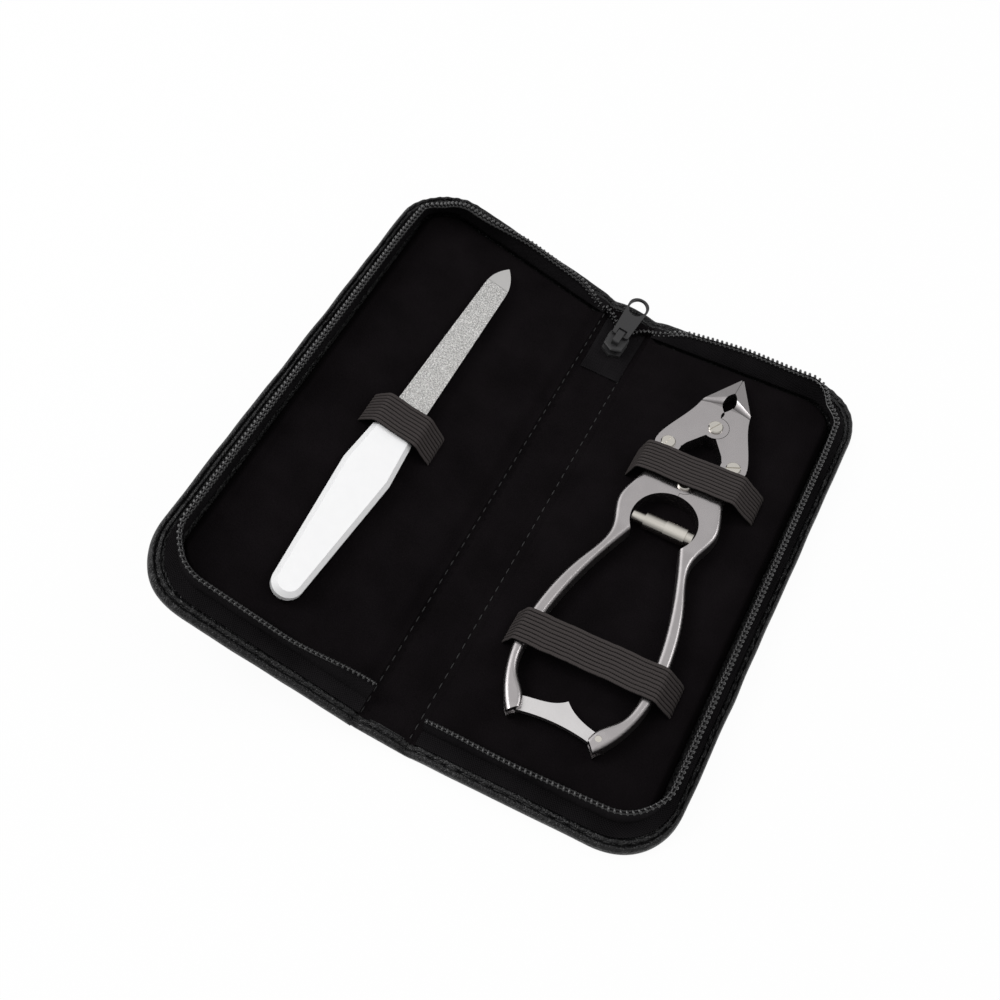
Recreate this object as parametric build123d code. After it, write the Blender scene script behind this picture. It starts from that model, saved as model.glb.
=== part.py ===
"""Manicure set case: a zip-round case lying open like a book, with a double-action nail nipper
under two elastic loops on the right leaf and a nail file under one loop on the left leaf.

Millimetres, +Z up.  The origin is the middle of the right leaf's flat underside, which rests on
the table.  +X runs across the case from the spine to the right leaf's zip side, and +Y runs along
the spine to the end where the zip begins.
"""
from build123d import *
from math import atan2, degrees, radians, sin, sqrt, tan
import os

os.makedirs("parts", exist_ok=True)

# ---- case: driving dimensions -----------------------------------------------------------------
LEAF_LENGTH = 180.0      # along the spine
LEAF_WIDTH = 77.0        # from the crease to the outer edge
LEAF_CORNER = 20.5       # plan radius of the two outer corners
SPINE_WIDTH = 16.1       # between the two creases
REST_FOLD = 10.5         # fold at each crease in the resting, half-open case, degrees
MOUTH_ANGLE = 3.16       # each closed leaf's lean from the spine's square, degrees
SKIN = 0.9               # synthetic leather
BOARD = 1.5              # stiffener inside each leaf
PAD = 2.0                # suede-faced foam on the board
PAD_ROUND = 1.0          # rounding of a pad's top edge
HINGE_HEIGHT = 1.0       # crease axis above the leaf's underside
CREASE_BEAD = 0.95       # radius of the folded leather along a crease
CREASE_GAP = 0.15        # between that bead and the leaf beside it
PAD_START = 1.7          # from the crease to the pad
SOFT_GAP = 0.15          # between soft pieces that lie beside each other

# ---- zip --------------------------------------------------------------------------------------
TAPE = 0.8               # tape thickness
TAPE_SIDE_INSET = 5.7    # from the leaf's outer edge to the tape's outer face
TAPE_END_INSET = 8.0     # from the leaf's ends to the tape's outer face
TAPE_CORNER = 13.5       # plan radius at the tape's outer face
TAPE_START = 1.7         # from the crease to the tape
COIL_WIDTH = 2.2
COIL_HEIGHT = 1.8
COIL_GAP = 0.2           # between the two coils of the closed case
SWOOP_LOW = 4.3          # coil top above the crease axis where the zip leaves the spine
SWOOP_FLAT = 8.0         # it stays low this far from the crease, beside the puller
SWOOP_END = 17.0         # and meets the full height this far out

SLIDER_LENGTH = 9.4
SLIDER_WIDTH = 7.5
SLIDER_NECK = 5.2
SLIDER_PLATE = 1.0
SLIDER_MOUTH = 2.0       # clear height between its two plates
SLIDER_Y = 71.4          # its middle along the spine
SLIDER_TURN = -2.5       # its turn on the spine, degrees
CROWN_WIDTH = 2.4
CROWN_LENGTH = 5.8
CROWN_RISE = 2.2
CROWN_WALL = 0.9
CROWN_Y = 0.6            # its middle, from the slider's middle
PULLER_LENGTH = 18.6
PULLER_WIDTH = 7.4       # at its eye
PULLER_ROOT_WIDTH = 6.0
PULLER_THICK = 0.9
PULLER_BAR = 0.8         # bar at its root, under the slider's crown
PULLER_SLOT = 2.2        # room for the crown beside that bar
PULLER_RIM = 0.75        # wall round its large hole
PULLER_HOLE = 7.4        # length of that hole
END_TAB_LENGTH = 24.0
END_TAB_WIDTH = 9.0
END_TAB = 0.4

# ---- elastic loops ----------------------------------------------------------------------------
STRAP = 1.0              # elastic thickness
STRAP_WIDTH = 11.6
STRAP_BEND = 1.4         # bend radius on the inner side
STRAP_CLEAR = 0.4        # above the tool beneath
SLIT_CLEAR = 0.1         # round a strap's end in its slit
SLIT_RISE = 0.3          # straight stretch above the pad at each slit
UPPER_LOOP_Y = 29.5      # middles of the three loops along the spine
LOWER_LOOP_Y = -42.0
FILE_LOOP_Y = -2.8
UPPER_REACHES = (2.8, 6.9)   # from each tool's sides to the slits
LOWER_REACHES = (3.2, 5.0)
FILE_REACHES = (6.3, 3.7)

# ---- nail file --------------------------------------------------------------------------------
FILE_X = 37.6            # its axis from the left crease
FILE_TURN = -0.8         # degrees
FILE_TIP_Y = 70.5
FILE_BLADE_THICK = 1.3
FILE_SHOULDER_Y = 60.2   # where the point begins
FILE_SHOULDER_WIDTH = 8.2
FILE_ROOT_WIDTH = 10.6
FILE_HANDLE_TOP_Y = -6.8
FILE_HANDLE_WIDE_Y = -23.5
FILE_HANDLE_END_Y = -71.8
FILE_HANDLE_TOP_WIDTH = 13.6
FILE_HANDLE_WIDTH = 16.6
FILE_HANDLE_END_WIDTH = 10.0
FILE_HANDLE_THICK = 5.2
FILE_BEVEL = 1.5
FILE_TANG = 22.0         # blade length inside the handle
FILE_REST = 0.1          # clearance under a tool on its pad

# ---- nipper -----------------------------------------------------------------------------------
NIPPER_X = 36.6          # handle pivot from the right crease
NIPPER_Y = 25.2
NIPPER_TURN = -1.3       # degrees
NIPPER_THICK = 6.0
LINK_X = 11.2            # link pivots, from the handle pivot
LINK_Y = 12.4
JAW_PIVOT_Y = 24.8
JAW_TIP_Y = 49.0
HANDLE_END_Y = -93.8
RING_Y = -15.7           # centre of the ring between the handles
RING_RADIUS = 10.6
NECK_Y = -22.6           # where the ring opens into the handles
SEAM = 0.12              # between the two halves of a closed joint
LAP_CLEAR = 0.15         # round a lap joint's disc
HANDLE_DISC = 3.8        # lap disc radii
HANDLE_LINK_DISC = 3.7
JAW_LINK_DISC = 4.2
JAW_DISC = 4.3
LAYER_GAP = 0.04         # between the two layers of a lap joint
ROD_ROUND = 1.5          # rounding along the handles
HANDLE_SPREAD = 22.2     # from the middle line to a handle's outer side at its widest
SCREW_RADIUS = 1.5
SCREW_RUN = 0.05         # radial running clearance on a screw
SCREW_HEAD = 2.4
SCREW_HEAD_RISE = 0.7
SCREW_SLOT = 0.7
EYE_HALF_WIDTH = 2.1     # leaf-shaped hole between the jaws
EYE_LOW_Y = 31.9
EYE_HIGH_Y = 41.8
EYE_SLIT = 0.45          # half width of the slit that opens below it
BEVEL_Y = 33.6           # where the jaws begin to thin
JAW_TIP_THICK = 1.0
HOLLOW_RADII = (3.4, 1.2)    # hollow ground beside the eye, at its inner and outer end
HOLLOW_DEPTHS = (1.7, 0.2)   # below the jaw's flat face
HOLLOW_ENDS = ((-0.4, 38.2), (9.2, 33.4))
SPRING_RADII = (1.9, 2.7, 3.0, 2.3)     # telescoping coils, from the left end
SPRING_STEPS = (0.0, 4.1, 10.9, 17.8, 20.0)
SPRING_Y = -16.2
NOTCHES = 19             # serrations on the right handle's outer edge
NOTCH_PITCH = 1.9
NOTCH_START_Y = -38.0
NOTCH_SEARCH = 200       # points along the edge among which the first notch is placed
NOTCH_WIDTH = 1.1
NOTCH_DEPTH = 0.4
LOCK_THICK = 1.8
LOCK_CLEAR = 0.15        # each side of the lock bar in its slots
LOCK_PIVOT = (13.2, -89.4)
LOCK_EYE = 1.9
LOCK_PIN = 1.0
LOCK_SLOT_TOP = -85.0

# ---- values that follow -----------------------------------------------------------------------
BOARD_TOP = SKIN + BOARD
PAD_TOP = BOARD_TOP + PAD
LEAF_START = CREASE_BEAD + CREASE_GAP
TAPE_Y = LEAF_LENGTH / 2 - TAPE_END_INSET
TOOL_FLOOR = PAD_TOP + FILE_REST
NIPPER_TOP = TOOL_FLOOR + NIPPER_THICK
LAYER = (NIPPER_THICK - LAYER_GAP) / 2
SCREW_TOP = NIPPER_TOP + SCREW_HEAD_RISE
LINING_TOP = 2 * SKIN - HINGE_HEIGHT
SLIDER_LOW = LINING_TOP + END_TAB
SLIDER_MID = SLIDER_LOW + SLIDER_PLATE + SLIDER_MOUTH / 2
SLIDER_TOP = SLIDER_LOW + 2 * SLIDER_PLATE + SLIDER_MOUTH
PULLER_Z = SLIDER_TOP + (CROWN_RISE - CROWN_WALL - PULLER_THICK) / 2
PULLER_SWING = sqrt(PULLER_THICK ** 2 + PULLER_BAR ** 2) / 2
PULLER_AXIS_Y = CROWN_Y + CROWN_LENGTH / 2 - CROWN_WALL - PULLER_SWING - 0.05
PULLER_LOW_Y = PULLER_AXIS_Y - PULLER_BAR / 2


# ---- places -----------------------------------------------------------------------------------
RIGHT_LEAF = Pos(-LEAF_WIDTH / 2, 0, 0)
SPINE = Pos(-LEAF_WIDTH / 2, 0, HINGE_HEIGHT) * Rot(0, REST_FOLD, 0)
LEFT_LEAF = SPINE * Pos(-SPINE_WIDTH, 0, 0) * Rot(0, REST_FOLD, 0) * Pos(0, 0, -HINGE_HEIGHT)
NIPPER = RIGHT_LEAF * Pos(NIPPER_X, NIPPER_Y, TOOL_FLOOR) * Rot(0, 0, NIPPER_TURN)
FILE = LEFT_LEAF * Pos(-FILE_X, 0, TOOL_FLOOR) * Rot(0, 0, FILE_TURN)
SLIDER = SPINE * Pos(-SPINE_WIDTH / 2, SLIDER_Y, 0) * Rot(0, 0, SLIDER_TURN)


def save(node, shape, place, colour):
    """Write one named piece where it lies in the whole object."""
    solid = place * shape
    solid.label = node
    solid.color = Color(*colour)
    export_step(solid, f"parts/{node}.step")


def slab(face, low, high):
    """A flat face raised into a plate between two heights."""
    return extrude(Pos(0, 0, low) * face, amount=high - low)


def disc(radius, x, y):
    return Pos(x, y) * Circle(radius)


# ---- leaf pieces, x outward from the crease, z up from the underside --------------------------
def leaf_face(start, side_inset, end_inset, corner):
    """A leaf's outline: square at the crease and rounded at its two outer corners."""
    width = LEAF_WIDTH - side_inset - start
    height = LEAF_LENGTH - 2 * end_inset
    face = Pos(start + width / 2, 0) * Rectangle(width, height)
    outer = face.vertices().sort_by(Axis.X)[-2:]
    return fillet(outer, corner)


def outer_cover():
    """Leather skin under the board, wrapped round its edge and turned in over it."""
    lip_top = BOARD_TOP + SKIN
    lip_side = TAPE_SIDE_INSET - SOFT_GAP
    lip_end = TAPE_END_INSET - SOFT_GAP
    shell = slab(leaf_face(LEAF_START, 0, 0, LEAF_CORNER), 0, lip_top)
    rim = shell.edges().filter_by(GeomType.CIRCLE)
    rim += shell.edges().filter_by(Axis.Y).filter_by_position(Axis.X, LEAF_WIDTH - 1, LEAF_WIDTH + 1)
    shell = fillet(rim, SKIN)
    shell -= slab(leaf_face(0, SKIN, SKIN, LEAF_CORNER - SKIN), SKIN, BOARD_TOP)
    window = leaf_face(0, lip_side, lip_end, TAPE_CORNER + SOFT_GAP)
    return shell - slab(window, BOARD_TOP, lip_top + 1)


def board():
    return slab(leaf_face(LEAF_START, SKIN, SKIN, LEAF_CORNER - SKIN), SKIN, BOARD_TOP)


def lining_pad(slits):
    """Suede-faced pad inside the zip, with a slit for each end of an elastic loop."""
    inset = TAPE + (COIL_WIDTH - TAPE) / 2 + SOFT_GAP
    side = TAPE_SIDE_INSET + inset
    end = TAPE_END_INSET + inset
    pad = slab(leaf_face(PAD_START, side, end, TAPE_CORNER - inset), BOARD_TOP, PAD_TOP)
    pad = fillet(pad.faces().sort_by(Axis.Z)[-1].edges(), PAD_ROUND)
    for x, y in slits:
        pad -= Pos(x, y, BOARD_TOP) * Box(
            STRAP + 2 * SLIT_CLEAR, STRAP_WIDTH + 2 * SLIT_CLEAR, 4 * PAD)
    return pad


def tape_wall(extra):
    """The three-sided wall in which the tape stands, thickened by extra on both faces."""
    outer = leaf_face(TAPE_START, TAPE_SIDE_INSET - extra, TAPE_END_INSET - extra, TAPE_CORNER + extra)
    side = TAPE_SIDE_INSET + TAPE + extra
    end = TAPE_END_INSET + TAPE + extra
    inner = leaf_face(-1, side, end, TAPE_CORNER - TAPE - extra)
    return slab(outer - inner, BOARD_TOP, SPINE_WIDTH)


def rim_height(x):
    """Height of the coil's top: the plane in which the two leaves' coils meet when closed."""
    return HINGE_HEIGHT + SPINE_WIDTH / 2 - COIL_GAP / 2 + x * tan(radians(MOUTH_ANGLE))


def below_rim(drop):
    """All that lies under the coil's top lowered by drop, with the swoop at the slider's end."""
    far = LEAF_WIDTH + 1
    plain = make_face(Polyline(
        (0, 0), (far, 0), (far, rim_height(far) - drop), (0, rim_height(0) - drop), close=True))
    swoop_start = (SWOOP_FLAT, HINGE_HEIGHT + SWOOP_LOW - drop)
    swoop_end = (SWOOP_END, rim_height(SWOOP_END) - drop)
    rise = (rim_height(far) - rim_height(0)) / far
    dip = Spline(swoop_start, swoop_end, tangents=((1, 0), (1, rise)))
    edge = Polyline(swoop_end, (far, rim_height(far) - drop), (far, 0), (0, 0),
                    (0, swoop_start[1]), swoop_start)
    swooped = make_face(Wire(dip.edges() + edge.edges()))
    middle = LEAF_LENGTH / 4
    near = extrude(Plane.XZ.offset(-middle) * plain, amount=LEAF_LENGTH)
    top = extrude(Plane.XZ.offset(-LEAF_LENGTH) * swooped, amount=LEAF_LENGTH - middle)
    return near + top


def zip_tape():
    return tape_wall(0) & below_rim(COIL_HEIGHT)


def zip_coil():
    """The coil of teeth as one plain bead on the tape's edge."""
    bead = tape_wall((COIL_WIDTH - TAPE) / 2) & below_rim(0)
    return bead - below_rim(COIL_HEIGHT)


def elastic_loop(points, y):
    """An elastic strap from slit to slit, over the tool beneath it."""
    inner = FilletPolyline(*points, radius=STRAP_BEND)
    face = make_face(offset(inner, STRAP, side=Side.LEFT, closed=True).edges())
    return extrude(Plane.XZ.offset(-y - STRAP_WIDTH / 2) * face, amount=STRAP_WIDTH)


# ---- spine pieces, x = 0 on the right crease and negative towards the left one ----------------
def spine_cover():
    """Leather over the spine, folded into a bead along each crease and turned in at both ends."""
    low = -HINGE_HEIGHT
    middle = -SPINE_WIDTH / 2
    skin = Pos(middle, 0, low + SKIN / 2) * Box(SPINE_WIDTH - CREASE_BEAD, LEAF_LENGTH, SKIN)
    for x in (0, -SPINE_WIDTH):
        skin += Pos(x, 0, 0) * Rot(90, 0, 0) * Cylinder(CREASE_BEAD, LEAF_LENGTH)
    width = SPINE_WIDTH - 2 * PAD_START
    for end in (-1, 1):
        y = end * (LEAF_LENGTH - TAPE_END_INSET) / 2
        skin += Pos(middle, y, low + SKIN) * Box(width, TAPE_END_INSET, 2 * SKIN)
    return skin


def spine_lining():
    width = SPINE_WIDTH - 2 * PAD_START
    length = LEAF_LENGTH - 2 * TAPE_END_INSET - 2 * SOFT_GAP
    low = SKIN - HINGE_HEIGHT
    return Pos(-SPINE_WIDTH / 2, 0, low + SKIN / 2) * Box(width, length, SKIN)


def zip_end_tab():
    """The woven tail of the two tapes, lying on the spine under the slider."""
    y = TAPE_Y - END_TAB_LENGTH / 2 - SOFT_GAP
    tab = Rectangle(END_TAB_WIDTH, END_TAB_LENGTH)
    tab = fillet(tab.vertices().sort_by(Axis.Y)[:2], 1.5)
    return Pos(-SPINE_WIDTH / 2, y, 0) * slab(tab, LINING_TOP, LINING_TOP + END_TAB)


def slider_face(shrink):
    """The slider's plate: wide where the two coils enter, narrow at its nose."""
    half = SLIDER_LENGTH / 2
    wide = SLIDER_WIDTH / 2 - shrink
    neck = SLIDER_NECK / 2 - shrink
    outline = Polyline(
        (-wide * 0.93, -half + 1.6), (0, -half), (wide * 0.93, -half + 1.6), (wide, half - 2.6),
        (neck, half - shrink), (-neck, half - shrink), (-wide, half - 2.6), close=True)
    return make_face(outline)


def zip_slider():
    """Two plates joined by the diamond between the coils, with side flanges and a crown."""
    body = slab(slider_face(0), SLIDER_LOW, SLIDER_LOW + SLIDER_PLATE)
    top = slab(slider_face(0), SLIDER_TOP - SLIDER_PLATE, SLIDER_TOP)
    body += chamfer(top.faces().sort_by(Axis.Z)[-1].edges(), 0.35)
    half = SLIDER_LENGTH / 2
    diamond = make_face(Polyline((0, 0.4), (1.1, half - 1.3), (0, half), (-1.1, half - 1.3), close=True))
    body += slab(diamond, SLIDER_LOW, SLIDER_TOP)
    crown = RectangleRounded(CROWN_LENGTH, 2 * CROWN_RISE, 1.1)
    hole = RectangleRounded(CROWN_LENGTH - 2 * CROWN_WALL, 2 * (CROWN_RISE - CROWN_WALL), 0.25)
    ring = extrude(Plane.YZ.offset(-CROWN_WIDTH / 2) * (crown - hole), amount=CROWN_WIDTH)
    ring = Pos(0, CROWN_Y, SLIDER_TOP) * ring
    upper = Pos(0, 0, SLIDER_TOP + CROWN_RISE) * Box(20, 20, 2 * CROWN_RISE + 0.2)
    return body + (ring & upper)


def zip_puller():
    """A flat tapered puller with one large hole, and a narrow root bar passing under the crown."""
    low_y = PULLER_LOW_Y
    eye_y = low_y + PULLER_LENGTH - PULLER_HOLE / 2 - PULLER_RIM
    width = PULLER_WIDTH - 2 * PULLER_RIM
    top_y = low_y + PULLER_LENGTH
    shoulder_y = top_y - PULLER_WIDTH / 2
    half = PULLER_WIDTH / 2
    root = PULLER_ROOT_WIDTH / 2
    plate = make_face(Polyline((-root, low_y), (root, low_y), (half, shoulder_y), (half, top_y),
                               (-half, top_y), (-half, shoulder_y), close=True))
    plate = fillet(plate.vertices().sort_by(Axis.Y)[-2:], half - 0.1)
    plate = fillet(plate.vertices().sort_by(Axis.Y)[:2], 1.0)
    plate -= Pos(0, eye_y) * Ellipse(width / 2, PULLER_HOLE / 2)
    slot = Pos(0, low_y + PULLER_BAR + PULLER_SLOT / 2) * Rectangle(CROWN_WIDTH + 0.8, PULLER_SLOT)
    return slab(plate - slot, PULLER_Z, PULLER_Z + PULLER_THICK)


def zip_lead(side):
    """Coil and tape bending from the slider's mouth to the crease on one side."""
    inner = (side * 1.9, SLIDER_Y + SLIDER_LENGTH / 2 + 0.3, SLIDER_MID)
    bend = (side * 3.6, TAPE_Y - 1.9, SLIDER_MID + 0.2)
    outer = (side * (SPINE_WIDTH / 2 - 0.4), TAPE_Y - 0.6, HINGE_HEIGHT + 1.3)
    path = Spline(inner, bend, outer, tangents=((0, 1, 0), (side, 0.1, 0)))
    start = Plane(origin=inner, x_dir=(1, 0, 0), z_dir=(0, 1, 0))
    return Pos(-SPINE_WIDTH / 2, 0, 0) * sweep(start * RectangleRounded(1.7, 1.7, 0.5), path)


# ---- nail file, y along its axis, z up from its underside -------------------------------------
def file_blade():
    """Flat blade with an arched point, and a tang inside the handle."""
    root = FILE_ROOT_WIDTH / 2
    shoulder = FILE_SHOULDER_WIDTH / 2
    tip = (0, FILE_TIP_Y)
    sides = []
    for side in (-1, 1):
        sides += Line((side * root, FILE_HANDLE_TOP_Y), (side * shoulder, FILE_SHOULDER_Y)).edges()
        sides += TangentArc((side * shoulder, FILE_SHOULDER_Y), tip, tangent=(0, 1)).edges()
    tang_y = FILE_HANDLE_TOP_Y - FILE_TANG
    tang = Polyline((-root, FILE_HANDLE_TOP_Y), (-root * 0.6, FILE_HANDLE_TOP_Y), (-1.6, tang_y),
                    (1.6, tang_y), (root * 0.6, FILE_HANDLE_TOP_Y), (root, FILE_HANDLE_TOP_Y))
    face = make_face(Wire(sides + list(tang.edges())))
    middle = FILE_HANDLE_THICK / 2
    return slab(face, middle - FILE_BLADE_THICK / 2, middle + FILE_BLADE_THICK / 2)


def file_handle():
    """Tapered plastic handle with broad bevels and a rounded end, moulded on the tang."""
    top = FILE_HANDLE_TOP_WIDTH / 2
    wide = FILE_HANDLE_WIDTH / 2
    end = FILE_HANDLE_END_WIDTH / 2
    end_y = FILE_HANDLE_END_Y + end
    outline = []
    for side in (-1, 1):
        outline += Polyline((0, FILE_HANDLE_TOP_Y), (side * top, FILE_HANDLE_TOP_Y),
                            (side * wide, FILE_HANDLE_WIDE_Y), (side * end, end_y)).edges()
    outline += ThreePointArc((-end, end_y), (0, FILE_HANDLE_END_Y), (end, end_y)).edges()
    face = make_face(Wire(outline))
    face = fillet(face.vertices().group_by(Axis.Y)[-1].sort_by(Axis.X)[::2], 1.4 * FILE_BEVEL)
    handle = slab(face, 0, FILE_HANDLE_THICK)
    rims = handle.faces().sort_by(Axis.Z)
    handle = chamfer(rims[0].edges() + rims[-1].edges(), FILE_BEVEL)
    return handle - file_blade()


# ---- nipper: right-hand outlines, mirrored for the left; handle pivot at the origin -----------
def mirrored(shape, side):
    return mirror(shape, about=Plane.YZ) if side < 0 else shape


def lower_half(radius, x, y, reach=0.0):
    """The lower layer's share of a round lap, or room for it."""
    return slab(disc(radius, x, y), -reach, LAYER + (LAYER_GAP if reach else 0))


def upper_half(radius, x, y, reach=0.0):
    """The upper layer's share of a round lap, or room for it."""
    low = NIPPER_THICK - LAYER - (LAYER_GAP if reach else 0)
    return slab(disc(radius, x, y), low, NIPPER_THICK + reach)


def screw_hole(x, y):
    return slab(disc(SCREW_RADIUS + SCREW_RUN, x, y), -1, NIPPER_THICK + 1)


def handle_outer():
    """A handle's outer edge, from its shoulder to its end."""
    shoulder = (LINK_X + HANDLE_LINK_DISC - 0.3, LINK_Y - 3)
    return Spline(shoulder, (13.7, -1.2), (16.6, -13.2), (13.7, -24.2), (17.2, -38.5), (21.2, -54.0),
                  (HANDLE_SPREAD, -67.0), (19.9, -82.0), (13.6, HANDLE_END_Y))


def handle_face():
    """One handle in plan: shoulder, half of the ring, slender rod and locking end."""
    seam = SEAM / 2
    neck = (sqrt(RING_RADIUS ** 2 - (NECK_Y - RING_Y) ** 2), NECK_Y)
    crotch = (seam, RING_Y + sqrt(RING_RADIUS ** 2 - seam ** 2))
    ring_side = (RING_RADIUS, RING_Y)
    end_inner = (10.4, HANDLE_END_Y + 3.4)
    outer = handle_outer()
    inner = Spline(end_inner, (12.0, -86.6), (16.2, -81.5), (HANDLE_SPREAD - 3.9, -71.0),
                   (17.2, -56.0), (13.1, -37.5), neck)
    ring = ThreePointArc(neck, ring_side, crotch)
    fork = Polyline(crotch, (seam, 3.0), (7.2, LINK_Y - 1.2), outer @ 0)
    foot = Line(outer @ 1, end_inner)
    return make_face(Wire(outer.edges() + inner.edges() + ring.edges() + fork.edges() + foot.edges()))


def serration():
    """A row of notches across the outer edge of one handle, for a finger's grip."""
    edge = handle_outer()
    shares = [i / NOTCH_SEARCH for i in range(NOTCH_SEARCH)]
    start = next(share for share in shares if (edge @ share).Y < NOTCH_START_Y)
    half_diagonal = NOTCH_WIDTH / sqrt(2)
    row = None
    for i in range(NOTCHES):
        share = start + i * NOTCH_PITCH / edge.length
        along = edge % share
        spot = edge @ share + Vector(-along.Y, along.X) * (half_diagonal - NOTCH_DEPTH)
        turn = degrees(atan2(along.Y, along.X)) + 45
        notch = Pos(spot.X, spot.Y, NIPPER_THICK / 2) * Rot(0, 0, turn) * Box(
            NOTCH_WIDTH, NOTCH_WIDTH, 2 * NIPPER_THICK)
        row = notch if row is None else row + notch
    return row


def lock_slot():
    """The slot across a handle's end in which the lock bar lies, open inwards and downwards."""
    half = LOCK_THICK / 2 + LOCK_CLEAR
    depth = LOCK_SLOT_TOP - HANDLE_END_Y + 2
    reach = LOCK_PIVOT[0] + LOCK_EYE + LOCK_CLEAR
    return Pos(reach / 2, LOCK_SLOT_TOP - depth / 2, NIPPER_THICK / 2) * Box(reach, depth, 2 * half)


def nipper_handle(side):
    """A handle with rounded edges, its half of the pivot lap and the lower half of its link lap.

    The left handle (side -1) holds the pivot lap's upper disc, and the right one its lower disc."""
    blank = slab(handle_face(), 0, NIPPER_THICK)
    rims = blank.edges().filter_by(lambda e: e.length > 50 and abs((e % 0.5).Z) < 0.01)
    handle = fillet(rims, ROD_ROUND)
    handle -= lock_slot()
    handle -= upper_half(JAW_LINK_DISC + LAP_CLEAR, LINK_X, LINK_Y, reach=1)
    handle += lower_half(HANDLE_LINK_DISC, LINK_X, LINK_Y)
    if side < 0:
        handle -= lower_half(HANDLE_DISC + LAP_CLEAR, 0, 0, reach=1)
        handle += upper_half(HANDLE_DISC, 0, 0)
    else:
        handle -= upper_half(HANDLE_DISC + LAP_CLEAR, 0, 0, reach=1)
        handle += lower_half(HANDLE_DISC, 0, 0)
        handle -= slab(disc(LOCK_PIN, *LOCK_PIVOT), -1, NIPPER_THICK + 1)
        handle -= serration()
    handle -= screw_hole(0, 0) + screw_hole(LINK_X, LINK_Y)
    return mirrored(handle, side)


def jaw_face():
    """One jaw in plan: link arm, head and pointed cutting end, with half of the eye."""
    seam = SEAM / 2
    arm = Polyline((seam, JAW_PIVOT_Y - 1), (1.6, JAW_PIVOT_Y - 3.8), (6.0, LINK_Y + 2.8),
                   (6.9, LINK_Y + 0.8), (LINK_X, LINK_Y), (LINK_X + 4.1, LINK_Y + 1.4))
    flank = Spline((LINK_X + 4.1, LINK_Y + 1.4), (13.7, 18.8), (10.6, 26.0), (8.3, BEVEL_Y + 0.6))
    point = Line((8.3, BEVEL_Y + 0.6), (seam + 0.3, JAW_TIP_Y))
    edge = Polyline((seam + 0.3, JAW_TIP_Y), (seam, JAW_TIP_Y - 0.6), (seam, EYE_HIGH_Y))
    eye_middle = (EYE_HALF_WIDTH, (EYE_LOW_Y + EYE_HIGH_Y) / 2)
    eye = ThreePointArc((seam, EYE_HIGH_Y), eye_middle, (seam, EYE_LOW_Y))
    boss_y = JAW_PIVOT_Y + JAW_DISC
    root = Polyline((seam, EYE_LOW_Y), (EYE_SLIT, EYE_LOW_Y - 0.7), (EYE_SLIT, boss_y + 1.2),
                    (seam, boss_y), (seam, JAW_PIVOT_Y - 1))
    pieces = (arm, flank, point, edge, eye, root)
    return make_face(Wire([e for piece in pieces for e in piece.edges()]))


def bevel(face_side):
    """The wedge that thins both jaws towards the tip, above (1) or below (-1) the middle."""
    middle = NIPPER_THICK / 2
    high = middle + face_side * middle
    low = middle + face_side * JAW_TIP_THICK / 2
    far = middle + face_side * NIPPER_THICK
    outline = Polyline((BEVEL_Y, high), (JAW_TIP_Y, low), (JAW_TIP_Y + 5, low), (JAW_TIP_Y + 5, far),
                       (BEVEL_Y, far), close=True)
    return extrude(Plane.YZ.offset(-20) * make_face(outline), amount=40)


def hollow():
    """The cone that grinds a hollow across a jaw's upper face, from the eye to its shoulder."""
    ends = []
    for (x, y), radius, depth in zip(HOLLOW_ENDS, HOLLOW_RADII, HOLLOW_DEPTHS):
        ends.append(Vector(x, y, NIPPER_THICK + radius - depth))
    run = ends[1] - ends[0]
    cone = Cone(*HOLLOW_RADII, run.length, align=(Align.CENTER, Align.CENTER, Align.MIN))
    return Plane(origin=ends[0], z_dir=run) * cone


def nipper_jaw(side):
    """A jaw lapped over the handle at its link; the left jaw holds the pivot's upper disc."""
    jaw = slab(jaw_face(), 0, NIPPER_THICK)
    jaw -= lower_half(HANDLE_LINK_DISC + LAP_CLEAR, LINK_X, LINK_Y, reach=1)
    jaw += upper_half(JAW_LINK_DISC, LINK_X, LINK_Y)
    if side < 0:
        jaw -= lower_half(JAW_DISC + LAP_CLEAR, 0, JAW_PIVOT_Y, reach=1)
        jaw += upper_half(JAW_DISC, 0, JAW_PIVOT_Y)
    else:
        jaw -= upper_half(JAW_DISC + LAP_CLEAR, 0, JAW_PIVOT_Y, reach=1)
        jaw += lower_half(JAW_DISC, 0, JAW_PIVOT_Y)
    jaw -= bevel(1) + bevel(-1) + hollow()
    jaw -= screw_hole(0, JAW_PIVOT_Y) + screw_hole(LINK_X, LINK_Y)
    return mirrored(jaw, side)


def slotted_screw(x, y, turn):
    """A shouldered joint screw: shaft through both layers and a slotted head on top."""
    seat = NIPPER_THICK + LAYER_GAP
    shaft = slab(disc(SCREW_RADIUS, 0, 0), LAYER_GAP, seat)
    head = slab(disc(SCREW_HEAD, 0, 0), seat, seat + SCREW_HEAD_RISE)
    head = chamfer(head.edges().sort_by(Axis.Z)[-1], 0.3)
    slot = Pos(0, 0, seat + SCREW_HEAD_RISE) * Box(2 * SCREW_HEAD + 1, SCREW_SLOT, SCREW_HEAD_RISE)
    return Pos(x, y, 0) * Rot(0, 0, turn) * (shaft + head - slot)


def barrel_spring():
    """Telescoped barrel spring lying across the ring between the two handles."""
    length = SPRING_STEPS[-1]
    outline = [(-length / 2, 0)]
    for radius, start, stop in zip(SPRING_RADII, SPRING_STEPS, SPRING_STEPS[1:]):
        outline += [(start - length / 2, radius), (stop - length / 2, radius)]
    outline.append((length / 2, 0))
    profile = make_face(Polyline(*outline, close=True))
    return Pos(0, SPRING_Y, NIPPER_THICK / 2) * revolve(profile, Axis.X)


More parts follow.
